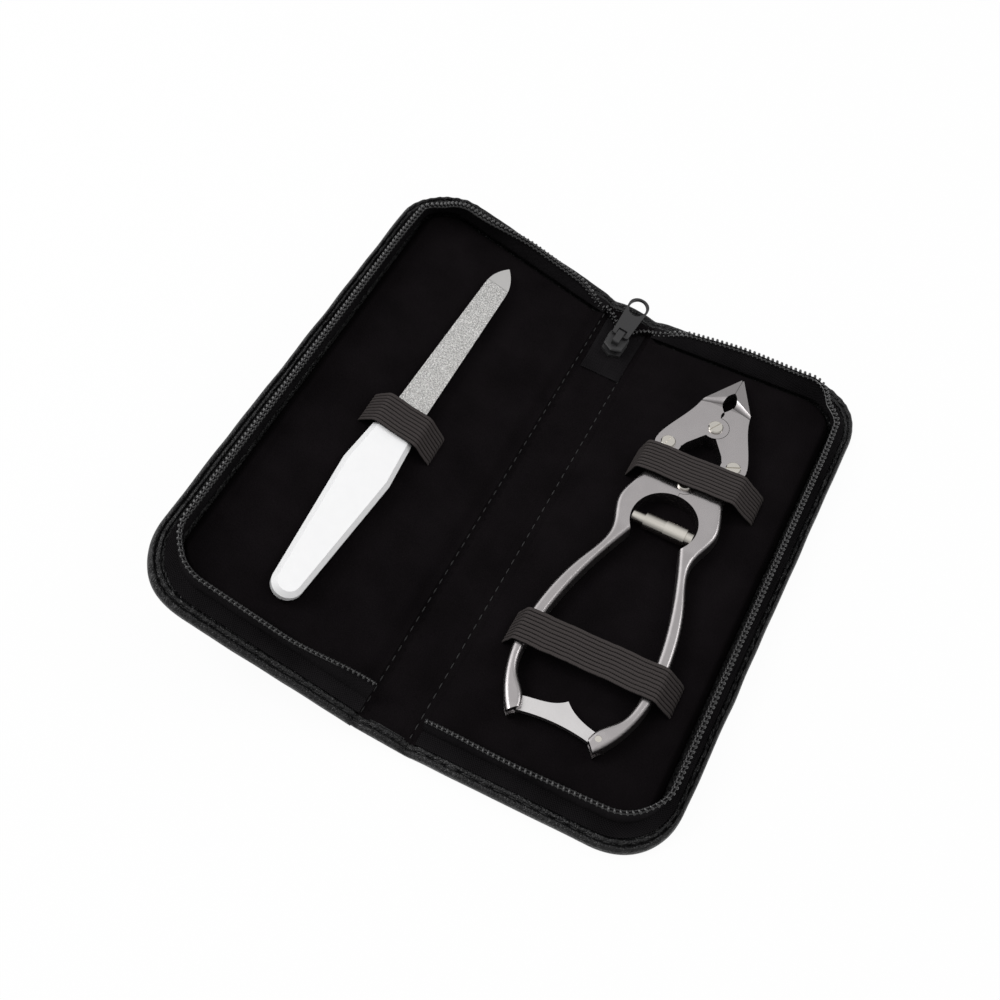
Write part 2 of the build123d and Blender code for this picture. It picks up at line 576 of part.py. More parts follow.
def lock_bar():
    """Flat bar hinged in the right handle's end, with a thumb peak on its upper edge."""
    eye_x, eye_y = LOCK_PIVOT
    upper = Spline((-13.2, -87.4), (-10.4, -86.6), (-5.4, -85.6), (0.6, -82.4))
    upper_right = Spline((0.6, -82.4), (5.2, -85.5), (9.6, -86.9), (eye_x, eye_y + LOCK_EYE))
    tail = ThreePointArc((eye_x, eye_y + LOCK_EYE), (eye_x + LOCK_EYE, eye_y), (eye_x, eye_y - LOCK_EYE))
    belly = ThreePointArc((eye_x, eye_y - LOCK_EYE), (0.6, -90.0), (-13.8, -92.2))
    tip = Line((-13.8, -92.2), (-13.2, -87.4))
    edges = upper.edges() + upper_right.edges() + tail.edges() + belly.edges() + tip.edges()
    middle = NIPPER_THICK / 2
    bar = slab(make_face(Wire(edges)), middle - LOCK_THICK / 2, middle + LOCK_THICK / 2)
    return bar - slab(disc(LOCK_PIN + SCREW_RUN, eye_x, eye_y), 0, NIPPER_THICK)


def lock_pin():
    return slab(disc(LOCK_PIN - 0.02, *LOCK_PIVOT), 0.1, NIPPER_THICK - 0.1)


# ---- elastic loops, placed from the tools that they hold --------------------------------------
def loop_points(axis_x, half_width, reaches, tool_top):
    """Inner line of a strap: up from one slit, over the tool and down to the other slit."""
    low, high = axis_x - half_width, axis_x + half_width
    ceiling = tool_top + STRAP_CLEAR
    foot = PAD_TOP + SLIT_RISE
    return [(low - reaches[0], BOARD_TOP), (low - reaches[0], foot), (low, ceiling), (high, ceiling),
            (high + reaches[1], foot), (high + reaches[1], BOARD_TOP)]


def slit_places(points, y):
    return [(points[0][0] - STRAP / 2, y), (points[-1][0] + STRAP / 2, y)]


def nipper_axis(y):
    """The nipper's middle line in the right leaf."""
    return NIPPER_X + (y - NIPPER_Y) * sin(radians(-NIPPER_TURN))


UPPER_LOOP = loop_points(nipper_axis(UPPER_LOOP_Y), LINK_X + JAW_LINK_DISC + 0.4, UPPER_REACHES,
                         SCREW_TOP)
LOWER_LOOP = loop_points(nipper_axis(LOWER_LOOP_Y), HANDLE_SPREAD - 0.3, LOWER_REACHES, NIPPER_TOP)
FILE_LOOP = loop_points(FILE_X, FILE_HANDLE_TOP_WIDTH / 2 + 0.3, FILE_REACHES,
                        TOOL_FLOOR + FILE_HANDLE_THICK)
RIGHT_SLITS = slit_places(UPPER_LOOP, UPPER_LOOP_Y) + slit_places(LOWER_LOOP, LOWER_LOOP_Y)
LEFT_SLITS = slit_places(FILE_LOOP, FILE_LOOP_Y)

# ---- colours and the pieces -------------------------------------------------------------------
LEATHER = (0.05, 0.05, 0.055)
BOARD_GREY = (0.35, 0.33, 0.3)
SUEDE = (0.03, 0.03, 0.035)
WEAVE = (0.08, 0.08, 0.09)
ELASTIC = (0.12, 0.12, 0.12)
STEEL = (0.62, 0.62, 0.64)
BRIGHT = (0.75, 0.75, 0.77)
WHITE = (0.92, 0.92, 0.92)

for name, side, place, slits in (("right", 1, RIGHT_LEAF, RIGHT_SLITS), ("left", -1, LEFT_LEAF, LEFT_SLITS)):
    save(f"{name}_outer_cover", mirrored(outer_cover(), side), place, LEATHER)
    save(f"{name}_board", mirrored(board(), side), place, BOARD_GREY)
    save(f"{name}_lining_pad", mirrored(lining_pad(slits), side), place, SUEDE)
    save(f"{name}_zip_tape", mirrored(zip_tape(), side), place, WEAVE)
    save(f"{name}_zip_coil", mirrored(zip_coil(), side), place, WEAVE)
    save(f"{name}_zip_lead", zip_lead(side), SPINE, WEAVE)

save("right_upper_loop", elastic_loop(UPPER_LOOP, UPPER_LOOP_Y), RIGHT_LEAF, ELASTIC)
save("right_lower_loop", elastic_loop(LOWER_LOOP, LOWER_LOOP_Y), RIGHT_LEAF, ELASTIC)
save("left_loop", mirrored(elastic_loop(FILE_LOOP, FILE_LOOP_Y), -1), LEFT_LEAF, ELASTIC)

save("spine_cover", spine_cover(), SPINE, LEATHER)
save("spine_lining", spine_lining(), SPINE, SUEDE)
save("zip_end_tab", zip_end_tab(), SPINE, WEAVE)
save("zip_slider", zip_slider(), SLIDER, LEATHER)
save("zip_puller", zip_puller(), SLIDER, LEATHER)

save("file_blade", file_blade(), FILE, STEEL)
save("file_handle", file_handle(), FILE, WHITE)

save("handle_pivot_screw", slotted_screw(0, 0, 35), NIPPER, BRIGHT)
save("barrel_spring", barrel_spring(), NIPPER, BRIGHT)
save("nipper_left_handle", nipper_handle(-1), NIPPER, STEEL)
save("left_link_screw", slotted_screw(-LINK_X, LINK_Y, 80), NIPPER, BRIGHT)
save("nipper_right_handle", nipper_handle(1), NIPPER, STEEL)
save("right_link_screw", slotted_screw(LINK_X, LINK_Y, 25), NIPPER, BRIGHT)
save("nipper_left_jaw", nipper_jaw(-1), NIPPER, STEEL)
save("jaw_pivot_screw", slotted_screw(0, JAW_PIVOT_Y, 60), NIPPER, BRIGHT)
save("nipper_right_jaw", nipper_jaw(1), NIPPER, STEEL)
save("lock_bar", lock_bar(), NIPPER, STEEL)
save("lock_pin", lock_pin(), NIPPER, BRIGHT)
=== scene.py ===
"""Looks of a zip-round manicure case that lies open, with a nail nipper and a nail file inside.

Sizes in the classes are millimetres in a leaf's own axes (x outward from the crease, y along it,
z up from the underside); every finished mesh is in metres in the shared frame.
"""
from __future__ import annotations

import logging
from dataclasses import dataclass, field
from enum import Enum
from math import copysign, cos, exp, hypot, pi, radians, sin, sqrt, tan, tau
from typing import Any, Callable, Sequence

import bmesh
import bpy
from mathutils import Matrix, Vector, noise


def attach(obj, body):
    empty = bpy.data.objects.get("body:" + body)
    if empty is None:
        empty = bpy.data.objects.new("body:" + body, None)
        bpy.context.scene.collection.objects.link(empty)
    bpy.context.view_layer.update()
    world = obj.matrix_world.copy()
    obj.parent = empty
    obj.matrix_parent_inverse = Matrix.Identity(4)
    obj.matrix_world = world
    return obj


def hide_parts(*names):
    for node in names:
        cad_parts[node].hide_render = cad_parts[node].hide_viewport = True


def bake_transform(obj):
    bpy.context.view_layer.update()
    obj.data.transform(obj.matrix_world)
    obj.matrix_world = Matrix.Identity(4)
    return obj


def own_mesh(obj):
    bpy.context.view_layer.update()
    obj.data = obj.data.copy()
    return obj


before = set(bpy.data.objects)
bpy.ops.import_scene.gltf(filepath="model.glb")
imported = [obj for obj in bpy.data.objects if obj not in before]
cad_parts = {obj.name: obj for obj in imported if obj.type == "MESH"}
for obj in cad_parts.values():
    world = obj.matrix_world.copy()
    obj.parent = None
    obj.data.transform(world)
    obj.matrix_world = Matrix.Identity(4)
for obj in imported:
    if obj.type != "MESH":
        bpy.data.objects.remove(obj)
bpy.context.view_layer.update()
MM = 0.001
UV_SCALE = 0.1  # UV units a millimetre
LOG = logging.getLogger("manicure_case")
Pair = tuple[float, float]
Section = Sequence[Pair]
Piece = bpy.types.Object
Lay = Callable[[float, float], Vector]
Triple = tuple[float, float, float]
UP = Vector((0, 0, 1))


# ---- shader building ------------------------------------------------------------------------
def operation(kind: str, swapped: bool = False) -> Callable[..., "Socket"]:
    """A method of sockets that adds one Math node.

    Args:
        kind: Blender's name of the operation.
        swapped: whether the method's argument comes first.

    Returns:
        The method.
    """

    def apply(first: "Socket", second: Any = 0.0) -> "Socket":
        """Feeds the node with both values, the second first if they are swapped."""
        values = (second, first) if swapped else (first, second)
        return first.graph.node("Math", {"operation": kind}, dict(enumerate(values)))

    return apply


class Socket:
    """A node's output on which Python's arithmetic adds Math nodes."""

    __add__ = __radd__ = operation("ADD")
    __mul__ = __rmul__ = operation("MULTIPLY")
    __sub__ = operation("SUBTRACT")
    __rsub__ = operation("SUBTRACT", swapped=True)
    wave = operation("SINE")
    size = operation("ABSOLUTE")

    def __init__(self, graph: "Graph", link: bpy.types.NodeSocket) -> None:
        """Keeps the graph that owns the nodes and the output that is wrapped."""
        self.graph = graph
        self.link = link

    def between(self, low: float, high: float) -> "Socket":
        """Smooth rise from 0 at low to 1 at high."""
        settings = {"interpolation_type": "SMOOTHSTEP"}
        return self.graph.node("MapRange", settings, {0: self, 1: low, 2: high})


class Graph:
    """A node tree of a material or of the world."""

    def __init__(self, tree: bpy.types.NodeTree) -> None:
        """Keeps the tree that nodes are added to."""
        self.tree = tree

    def node(self, kind: str, settings: dict[str, Any], inputs: dict[Any, Any],
             output: Any = 0) -> Socket:
        """Adds any node.

        Args:
            kind: Blender's node type, without its "ShaderNode".
            settings: the node's own properties.
            inputs: values or sockets by input name or number.
            output: name or number of the output that is wanted.

        Returns:
            The wanted output.
        """
        made = self.tree.nodes.new("ShaderNode" + kind)
        for key, value in settings.items():
            setattr(made, key, value)
        for key, value in inputs.items():
            self.feed(made.inputs[key], value)
        return Socket(self, made.outputs[output])

    def feed(self, target: bpy.types.NodeSocket, value: Any) -> None:
        """Links a socket to an input, or sets the input's own value.

        Args:
            target: the input.
            value: a socket, a colour or a plain value.
        """
        if isinstance(value, Socket):
            self.tree.links.new(value.link, target)
        elif isinstance(value, tuple) and len(value) == 3 and target.type == "RGBA":
            target.default_value = (*value, 1.0)
        else:
            target.default_value = value

    def ray(self, kind: str) -> Socket:
        """1 where a ray is of a kind, such as "Is Camera Ray"."""
        return self.node("LightPath", {}, {}, kind)

    def place(self, output: str = "Object") -> Socket:
        """Texture coordinates: Object ones in metres, or UV ones in centimetres."""
        return self.node("TexCoord", {}, {}, output)

    def part(self, place: Socket, axis: int) -> Socket:
        """One component of a vector."""
        return self.node("SeparateXYZ", {}, {0: place}, axis)


class Shader(Graph):
    """One procedural material."""

    def __init__(self, name: str) -> None:
        """Starts an empty material with its output and its principled shader."""
        self.material = bpy.data.materials.new(name)
        self.material.use_nodes = True
        super().__init__(self.material.node_tree)
        self.surface = self.tree.nodes["Principled BSDF"]

    def stretched(self, place: Socket, scale: Triple) -> Socket:
        """Coordinates scaled by axis."""
        return self.node("Mapping", {}, {"Vector": place, "Scale": scale})

    def noise(self, place: Socket, scale: float, detail: float = 2.0, rough: float = 0.5) -> Socket:
        """Noise from 0 to 1 at a number of cells a metre."""
        inputs = {"Vector": place, "Scale": scale, "Detail": detail, "Roughness": rough}
        return self.node("TexNoise", {}, inputs)

    def cells(self, place: Socket, scale: float) -> Socket:
        """Distance to the nearest cell border."""
        settings = {"feature": "DISTANCE_TO_EDGE"}
        return self.node("TexVoronoi", settings, {"Vector": place, "Scale": scale})

    def mix(self, share: Any, low: tuple[float, ...], high: tuple[float, ...]) -> Socket:
        """Mixes two colours."""
        inputs = {0: share, 6: low, 7: high}
        return self.node("Mix", {"data_type": "RGBA"}, inputs, 2)

    def dress(self, **values: Any) -> None:
        """Feeds the principled shader's inputs, with underscores for the blanks in their names."""
        for key, value in values.items():
            self.feed(self.surface.inputs[key.replace("_", " ")], value)

    def emboss(self, height: Socket, depth: float, strength: float = 1.0) -> None:
        """Drives the surface's normal with a height from 0 to 1 over a depth in metres."""
        inputs = {"Height": height, "Distance": depth, "Strength": strength}
        self.dress(Normal=self.node("Bump", {}, inputs))


@dataclass(frozen=True)
class Recipe:
    """A named material."""

    name: str

    def make(self) -> bpy.types.Material:
        """Builds the material."""
        shader = Shader(self.name)
        self.paint(shader, shader.place())
        return shader.material

    def paint(self, s: Shader, place: Socket) -> None:
        """Adds the material's nodes, on Object coordinates.

        Args:
            s: the shader to paint.
            place: its Object coordinates.
        """
        raise NotImplementedError


@dataclass(frozen=True)
class Cloth(Recipe):
    """Black woven or napped textile."""

    dark: Triple
    light: Triple
    nap: float = 2600.0
    depth: float = 0.00012
    ribs: float = 0.0

    def paint(self, s: Shader, place: Socket) -> None:
        """Fine nap, slow shade and, with ribs, a weave on the UV map whose low threads take the
        dark colour as painted shade.
        """
        fine = s.noise(place, self.nap, 3.0, 0.7)
        slow = s.noise(place, 70.0, 3.0)
        height = fine
        if self.ribs:
            uv = s.place("UV")
            along = (s.part(uv, 0) * self.ribs * tau).wave()
            across = (s.part(uv, 1) * self.ribs * tau).wave()
            height = (along * across) * 0.35 + 0.5 + fine * 0.4
        # With ribs, the weave's low parts take the dark colour: painted shade between the threads.
        shade = (height * 0.6 + slow * 0.6 - 0.25).between(0.0, 0.8)
        s.dress(Base_Color=s.mix(shade, self.dark, self.light), Roughness=0.92,
                Specular_IOR_Level=0.03)
        s.emboss(height, self.depth)


@dataclass(frozen=True)
class Elastic(Recipe):
    """Ribbed elastic webbing, whose UV map counts centimetres along it and ribs across it."""

    name: str = "ribbed_elastic"
    # Painted shade that fills the grooves between the ribs; rib is the ribs' own colour.
    groove_shade: Triple = (0.004, 0.0035, 0.0035)
    rib: Triple = (0.053, 0.046, 0.045)
    picks: float = 15.0

    def paint(self, s: Shader, place: Socket) -> None:
        """Ribs with painted shade in the grooves between them, lighter in slack patches, crossed by
        fine picks.
        """
        uv = s.place("UV")
        rib = (s.part(uv, 1) * pi).wave().size().between(0.0, 0.55)
        pick = (s.part(uv, 0) * self.picks * tau).wave()
        fuzz = s.noise(place, 2800.0, 3.0, 0.7)
        slack = s.noise(place, 130.0, 2.0).between(0.3, 0.7) * 0.3
        # The groove colour is painted shade in the recesses between the ribs; slack patches get
        # less of it.
        shade = (rib * (0.9 - slack) + slack + pick * 0.08 + fuzz * 0.6 - 0.35).between(0.0, 1.0)
        s.dress(Base_Color=s.mix(shade, self.groove_shade, self.rib), Roughness=0.9,
                Specular_IOR_Level=0.1)
        s.emboss(rib * 0.5 + pick * 0.15 + fuzz * 0.4, 0.0002)


@dataclass(frozen=True)
class Leather(Recipe):
    """Black synthetic leather: pebbled grain, creases and soft gloss."""

    name: str = "black_leather"

    def paint(self, s: Shader, place: Socket) -> None:
        """Adds the material's nodes."""
        grain = s.cells(place, 900.0).between(0.0, 0.25)
        fold = s.noise(place, 170.0, 3.0, 0.55)
        lump = s.noise(place, 520.0, 2.0).between(0.35, 0.75)
        worn = s.noise(place, 60.0, 3.0)
        s.dress(Base_Color=s.mix(fold, (0.0018, 0.0018, 0.002), (0.0065, 0.0063, 0.007)),
                Roughness=0.22 + worn * 0.3, Specular_IOR_Level=0.28)
        s.emboss(grain * 0.3 + fold * 1.2 + lump * 0.5, 0.0005, 0.8)


@dataclass(frozen=True)
class Steel(Recipe):
    """Stainless steel with a ground finish."""

    colour: Triple
    roughness: float
    grind: float = 0.5

    def paint(self, s: Shader, place: Socket) -> None:
        """Grinding lines along the tool, smudges and lighter edges."""
        lines = s.noise(s.stretched(place, (1.0, 0.06, 1.0)), 9000.0, 2.0, 0.6)
        smudge = s.noise(place, 180.0, 3.0)
        edge = s.node("NewGeometry", {}, {}, "Pointiness").between(0.5, 0.56)
        low, high = (tuple(c * share for c in self.colour) for share in (0.86, 1.1))
        s.dress(Base_Color=s.mix(smudge * 0.5 + edge * 0.6, low, high),
                Metallic=1.0, Roughness=self.roughness + lines * 0.14 + smudge * 0.08 - edge * 0.08)
        s.emboss(lines, 0.00001 * self.grind, 0.6)


@dataclass(frozen=True)
class FileGrit(Recipe):
    """Steel blade faced with fine grit up to a bare tip."""

    name: str = "grit_facing"
    bare_from: float = 0.0622

    def paint(self, s: Shader, place: Socket) -> None:
        """Adds the material's nodes."""
        grit = s.noise(place, 2300.0, 2.0, 0.75).between(0.34, 0.66)
        grain = s.node("TexVoronoi", {}, {"Vector": place, "Scale": 2400.0})
        bare = s.part(place, 1).between(self.bare_from - 0.0003, self.bare_from + 0.0003)
        shade = (1 - bare) * grit + bare * 0.42
        s.dress(Base_Color=s.mix(shade, (0.36, 0.354, 0.348), (0.79, 0.78, 0.765)),
                Metallic=0.8, Roughness=0.28 + (1 - bare) * 0.2)
        s.emboss((1 - bare) * (grit + grain), 0.00012, 0.9)


@dataclass(frozen=True)
class Moulded(Recipe):
    """Moulded or painted hard surface."""

    colour: Triple
    roughness: float
    coat: float = 0.0
    texture: float = 0.000004

    def paint(self, s: Shader, place: Socket) -> None:
        """Faint mottling in colour and gloss."""
        mottle = s.noise(place, 320.0, 4.0)
        low = tuple(c * 0.96 for c in self.colour)
        s.dress(Base_Color=s.mix(mottle, low, self.colour), Roughness=self.roughness + mottle * 0.1,
                Coat_Weight=self.coat, Coat_Roughness=0.12)
        s.emboss(s.noise(place, 1500.0), self.texture, 0.5)


class Finish(Enum):
    """The finishes of the case and its tools, each with its recipe."""

    LEATHER = Leather()
    SUEDE = Cloth("black_suede", (0.0028, 0.0022, 0.0025), (0.0082, 0.0066, 0.0076), nap=2300.0)
    TAPE = Cloth("woven_tape", (0.0016, 0.0014, 0.0016), (0.014, 0.0128, 0.014), ribs=13.0,
                 depth=0.00022)
    ELASTIC = Elastic()
    THREAD = Moulded("black_thread", (0.004, 0.004, 0.0045), 0.7)
    SEAM = Moulded("seam_thread", (0.0085, 0.008, 0.0088), 0.7)
    NYLON = Moulded("nylon_teeth", (0.006, 0.0057, 0.0062), 0.26, 0.35)
    BLACK_METAL = Moulded("black_enamel", (0.018, 0.0175, 0.0185), 0.5)
    SATIN = Steel("ground_steel", (0.385, 0.365, 0.367), 0.22)
    PLATE = Steel("plate_steel", (0.57, 0.555, 0.555), 0.3)
    BRIGHT = Steel("polished_steel", (0.56, 0.535, 0.49), 0.12, 0.3)
    GRIT = FileGrit()
    WHITE = Moulded("white_moulding", (0.95, 0.95, 0.955), 0.2, 0.2)

    def material(self) -> bpy.types.Material:
        """The finish's material, made the first time it is asked for."""
        return bpy.data.materials.get(self.value.name) or self.value.make()


# ---- mesh building --------------------------------------------------------------------------
def deselect() -> None:
    """Leaves nothing selected, out of edit mode."""
    if bpy.context.object and bpy.context.object.mode == "EDIT":
        bpy.ops.object.mode_set(mode="OBJECT")
    bpy.ops.object.select_all(action="DESELECT")


def activate(piece: Piece) -> None:
    """Makes one object the only selected and the active one."""
    deselect()
    piece.select_set(True)
    bpy.context.view_layer.objects.active = piece


def spread(low: float, high: float, step: float) -> list[float]:
    """Even stations from low to high, about a step apart."""
    count = max(1, round((high - low) / step))
    return [low + (high - low) * i / count for i in range(count + 1)]


def ease(value: float) -> float:
    """Smooth step from 0 to 1."""
    t = min(1.0, max(0.0, value))
    return t * t * (3.0 - 2.0 * t)


def eased(marks: Sequence[float], values: Sequence[float], k: float) -> float:
    """Value at a station that eases between values given at rising marks.

    Args:
        marks: rising marks.
        values: the value at each mark.
        k: the station.

    Returns:
        The value.
    """
    i = max(n for n, mark in enumerate(marks[:-1]) if k >= mark)
    share = ease((k - marks[i]) / (marks[i + 1] - marks[i]))
    return values[i] + (values[i + 1] - values[i]) * share


def wrinkle(x: float, y: float, z: float = 0.0) -> float:
    """Smooth noise between -1 and 1."""
    return noise.noise(Vector((x, y, z)))


def plain_uv(a: float, b: float) -> Pair:
    """UV of a place given in millimetres."""
    return a * UV_SCALE, b * UV_SCALE


def wrapped(name: str, columns: Sequence[float], rows: Sequence[float], place: Lay,
            uv: Callable[[float, float], Pair] = plain_uv) -> Piece:
    """A grid whose vertices are laid on a surface.

    Args:
        name: the piece's name.
        columns: first surface value of each column of vertices.
        rows: second surface value of each row.
        place: gives the point of a pair of surface values.
        uv: gives their place on the UV map.

    Returns:
        The grid, in millimetres.
    """
    deselect()
    wide, high = len(columns) - 1, len(rows) - 1
    bpy.ops.mesh.primitive_grid_add(x_subdivisions=wide, y_subdivisions=high, size=1.0)
    piece = bpy.context.object
    piece.name = name
    mesh = piece.data
    keys = [(round((v.co.x + 0.5) * wide), round((v.co.y + 0.5) * high)) for v in mesh.vertices]
    for vertex, (i, j) in zip(mesh.vertices, keys):
        vertex.co = place(columns[i], rows[j])
    layer = mesh.uv_layers.active.data
    for loop in mesh.loops:
        i, j = keys[loop.vertex_index]
        layer[loop.index].uv = uv(columns[i], rows[j])
    return piece


def edit(piece: Piece, *steps: tuple[Callable[..., Any], dict[str, Any]]) -> None:
    """Runs edit-mode operators on the whole mesh.

    Args:
        piece: the object to edit.
        steps: pairs of an operator and its settings; everything is selected before the first.
    """
    activate(piece)
    bpy.ops.object.mode_set(mode="EDIT")
    bpy.ops.mesh.select_all(action="SELECT")
    for operator, settings in steps:
        operator(**settings)
    bpy.ops.object.mode_set(mode="OBJECT")


def modify(piece: Piece, kind: str, **settings: Any) -> None:
    """Adds one modifier, sets it and applies it.

    Args:
        piece: the object.
        kind: Blender's name of the modifier.
        settings: the modifier's own properties.
    """
    activate(piece)
    modifier = piece.modifiers.new(kind.lower(), kind)
    for key, value in settings.items():
        setattr(modifier, key, value)
    bpy.ops.object.modifier_apply(modifier=modifier.name)


def thicken(piece: Piece, thickness: float, offset: float = -1.0) -> None:
    """Gives a surface its thickness, below it (-1), above it (1) or on both sides (0)."""
    modify(piece, "SOLIDIFY", thickness=thickness, offset=offset)


def close_tube(piece: Piece) -> None:
    """Welds a wrapped grid's first and last rows and fills its two ends."""
    edit(piece, (bpy.ops.mesh.remove_doubles, {"threshold": 1e-4}),
         (bpy.ops.mesh.fill_holes, {"sides": 0}))


def join(name: str, pieces: Sequence[Piece]) -> Piece:
    """Joins objects into one.

    Args:
        name: the joined object's name.
        pieces: the objects, of which the first one stays.

    Returns:
        The joined object.
    """
    activate(pieces[0])
    for piece in pieces:
        piece.select_set(True)
    bpy.ops.object.join()
    pieces[0].name = name
    return pieces[0]


def copies(name: str, source: Piece, places: Sequence[Matrix]) -> Piece:
    """One piece made of copies of a small source, which is removed.

    Args:
        name: the piece's name.
        source: the mesh object to copy.
        places: where each copy goes.

    Returns:
        The piece.
    """
    gathered = bmesh.new()
    for matrix in places:
        mesh = source.data.copy()
        mesh.transform(matrix)
        gathered.from_mesh(mesh)
        bpy.data.meshes.remove(mesh)
    bpy.data.objects.remove(source)
    mesh = bpy.data.meshes.new(name)
    gathered.to_mesh(mesh)
    gathered.free()
    piece = bpy.data.objects.new(name, mesh)
    bpy.context.collection.objects.link(piece)
    return piece


def coat(piece: Piece, finish: Finish) -> None:
    """Gives a piece one material only."""
    piece.data.materials.clear()
    piece.data.materials.append(finish.material())


def settle(piece: Piece, matrix: Matrix, finish: Finish, angle: float = 50.0) -> Piece:
    """Takes a piece in millimetres to its place in the frame and dresses it.

    Args:
        piece: the object, in the axes of its part of the case.
        matrix: from those axes to the frame, in metres.
        finish: its material.
        angle: edges sharper than this many degrees stay sharp.

    Returns:
        The piece.
    """
    piece.data.transform(matrix)
    edit(piece, (bpy.ops.mesh.normals_make_consistent, {"inside": False}))
    bpy.ops.object.shade_smooth_by_angle(angle=radians(angle))
    coat(piece, finish)
    return piece


def hand_over(piece: Piece, body: str, slot: str, *nodes: str) -> Piece:
    """Args:
        piece: the finished object.
        body: the body that carries it.
        slot: its finish slot; not used.
        nodes: the nodes that it stands for.

    Returns:
        The piece.
    """
    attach(piece, body)
    if nodes:
        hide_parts(*nodes)
    LOG.info("%s: %d faces on %s", piece.name, len(piece.data.polygons), body)
    return piece


def tooth(length: float, width: float, height: float, round_off: float) -> Piece:
    """A small block with rounded edges, for what repeats along a line.

    Args:
        length: size along x.
        width: size along y.
        height: size along z.
        round_off: width of the bevel.

    Returns:
        The block.
    """
    deselect()
    bpy.ops.mesh.primitive_cube_add(size=1.0)
    block = bpy.context.object
    block.data.transform(Matrix.Diagonal((length, width, height, 1.0)))
    modify(block, "BEVEL", width=round_off, segments=1)
    return block


def coil_turn() -> Piece:
    """One turn of the zip's coil: the tooth on the inner side and its loop behind the cord."""
    head = tooth(0.85, 1.5, 1.3, 0.26)
    head.data.transform(Matrix.Translation((0, -0.35, 0.05)) @ Matrix.Rotation(0.3, 4, "Z"))
    loop = tooth(0.7, 0.5, 0.8, 0.16)
    loop.data.transform(Matrix.Translation((0.1, 0.45, -0.95)))
    return join("turn", [head, loop])


def stitch(length: float, radius: float) -> Piece:
    """One stitch along x: a short thread that dives in at both ends.

    Args:
        length: length between the ends that dive in.
        radius: half the thread's thickness.

    Returns:
        The thread.
    """
    deselect()
    bpy.ops.mesh.primitive_uv_sphere_add(segments=8, ring_count=6, radius=1.0)
    thread = bpy.context.object
    thread.data.transform(Matrix.Rotation(pi / 2, 4, "Y"))
    for vertex in thread.data.vertices:
        x, y, z = vertex.co
        vertex.co = (x * length / 2, y * radius, z * radius - 0.5 * radius * x * x)
    return thread


def facing(point: Vector, along: Vector, up: Vector) -> Matrix:
    """A place with x along a direction and z near another.

    Args:
        point: the origin.
        along: direction of x.
        up: direction that z leans to.

    Returns:
        The place as a matrix.
    """
    x = along.normalized()
    y = up.cross(x).normalized()
    z = x.cross(y)
    return Matrix.Translation(point) @ Matrix((x, y, z)).transposed().to_4x4()


# ---- the case -------------------------------------------------------------------------------
@dataclass(frozen=True)
class CaseSizes:
    """Sizes that the leaves, the spine and the zip share."""

    width: float = 77.0
    length: float = 180.0
    corner: float = 20.5
    spine: float = 16.1
    fold: float = 10.5
    hinge: float = 1.0
    board_top: float = 2.4
    pad_top: float = 4.4
    tape_side: float = 5.7
    tape_end: float = 8.0
    tape_corner: float = 13.5
    tape: float = 0.8
    start: float = 1.7
    mouth: float = 3.16
    gap: float = 0.15
    swoop_low: float = 3.4
    swoop_run: float = 17.0

    def spine_matrix(self) -> Matrix:
        """From the spine's axes (origin on the right crease) to the frame."""
        shift = Matrix.Translation(Vector((-self.width / 2, 0, self.hinge)) * MM)
        return shift @ Matrix.Rotation(radians(self.fold), 4, "Y") @ Matrix.Scale(MM, 4)

    def rim(self, x: float, y: float) -> float:
        """Height of the teeth's tops, which dip beside the slider.

        Args:
            x: place across the leaf.
            y: place along it.

        Returns:
            The height above the underside.
        """
        plain = self.hinge + self.spine / 2 - 0.3 + x * tan(radians(self.mouth))
        if y < self.length / 4:
            return plain
        return self.swoop_low + (plain - self.swoop_low) * ease((x + 1.5) / self.swoop_run)


SIZES = CaseSizes()
ROLL = 0.46  # share of the border that the rolled edge covers
EDGE: Section = ((1.0, 0.0), (0.6, 0.0), (0.2, 0.0), (0.05, 0.2), (-0.005, 0.8), (-0.015, 1.7),
                 (0.0, 2.5), (0.04, 3.05), (0.1, 3.4), (0.165, 3.42), (0.215, 3.1), (0.25, 2.75),
                 (0.285, 3.05), (0.35, 3.38), (0.42, 3.3), (0.452, 3.1), (ROLL, 2.72), (0.51, 2.66),
                 (1.0, 2.6), (1.0, 0.0))


def edge_height(across: float, along: float, height: float, gather: float = 0.0) -> float:
    """Height of the leather's edge with its creases.

    Args:
        across: place across the open case, from the right crease.
        along: place along the spine.
        height: the smooth edge's height above the underside.
        gather: extra folds, as at the corners.

    Returns:
        The creased height, lower over both creases.
    """
    upper = ease((height - 1.0) / 2.0)
    beside = min(abs(across), abs(across + SIZES.spine))
    folds = 0.2 * wrinkle(across / 6, along / 6, 3.0)
    folds += 0.12 * wrinkle(across / 2.4, along / 2.4, 5.0)
    return height * (1 - 0.34 * upper * exp(-((beside / 2.6) ** 2))) + upper * (folds + gather)


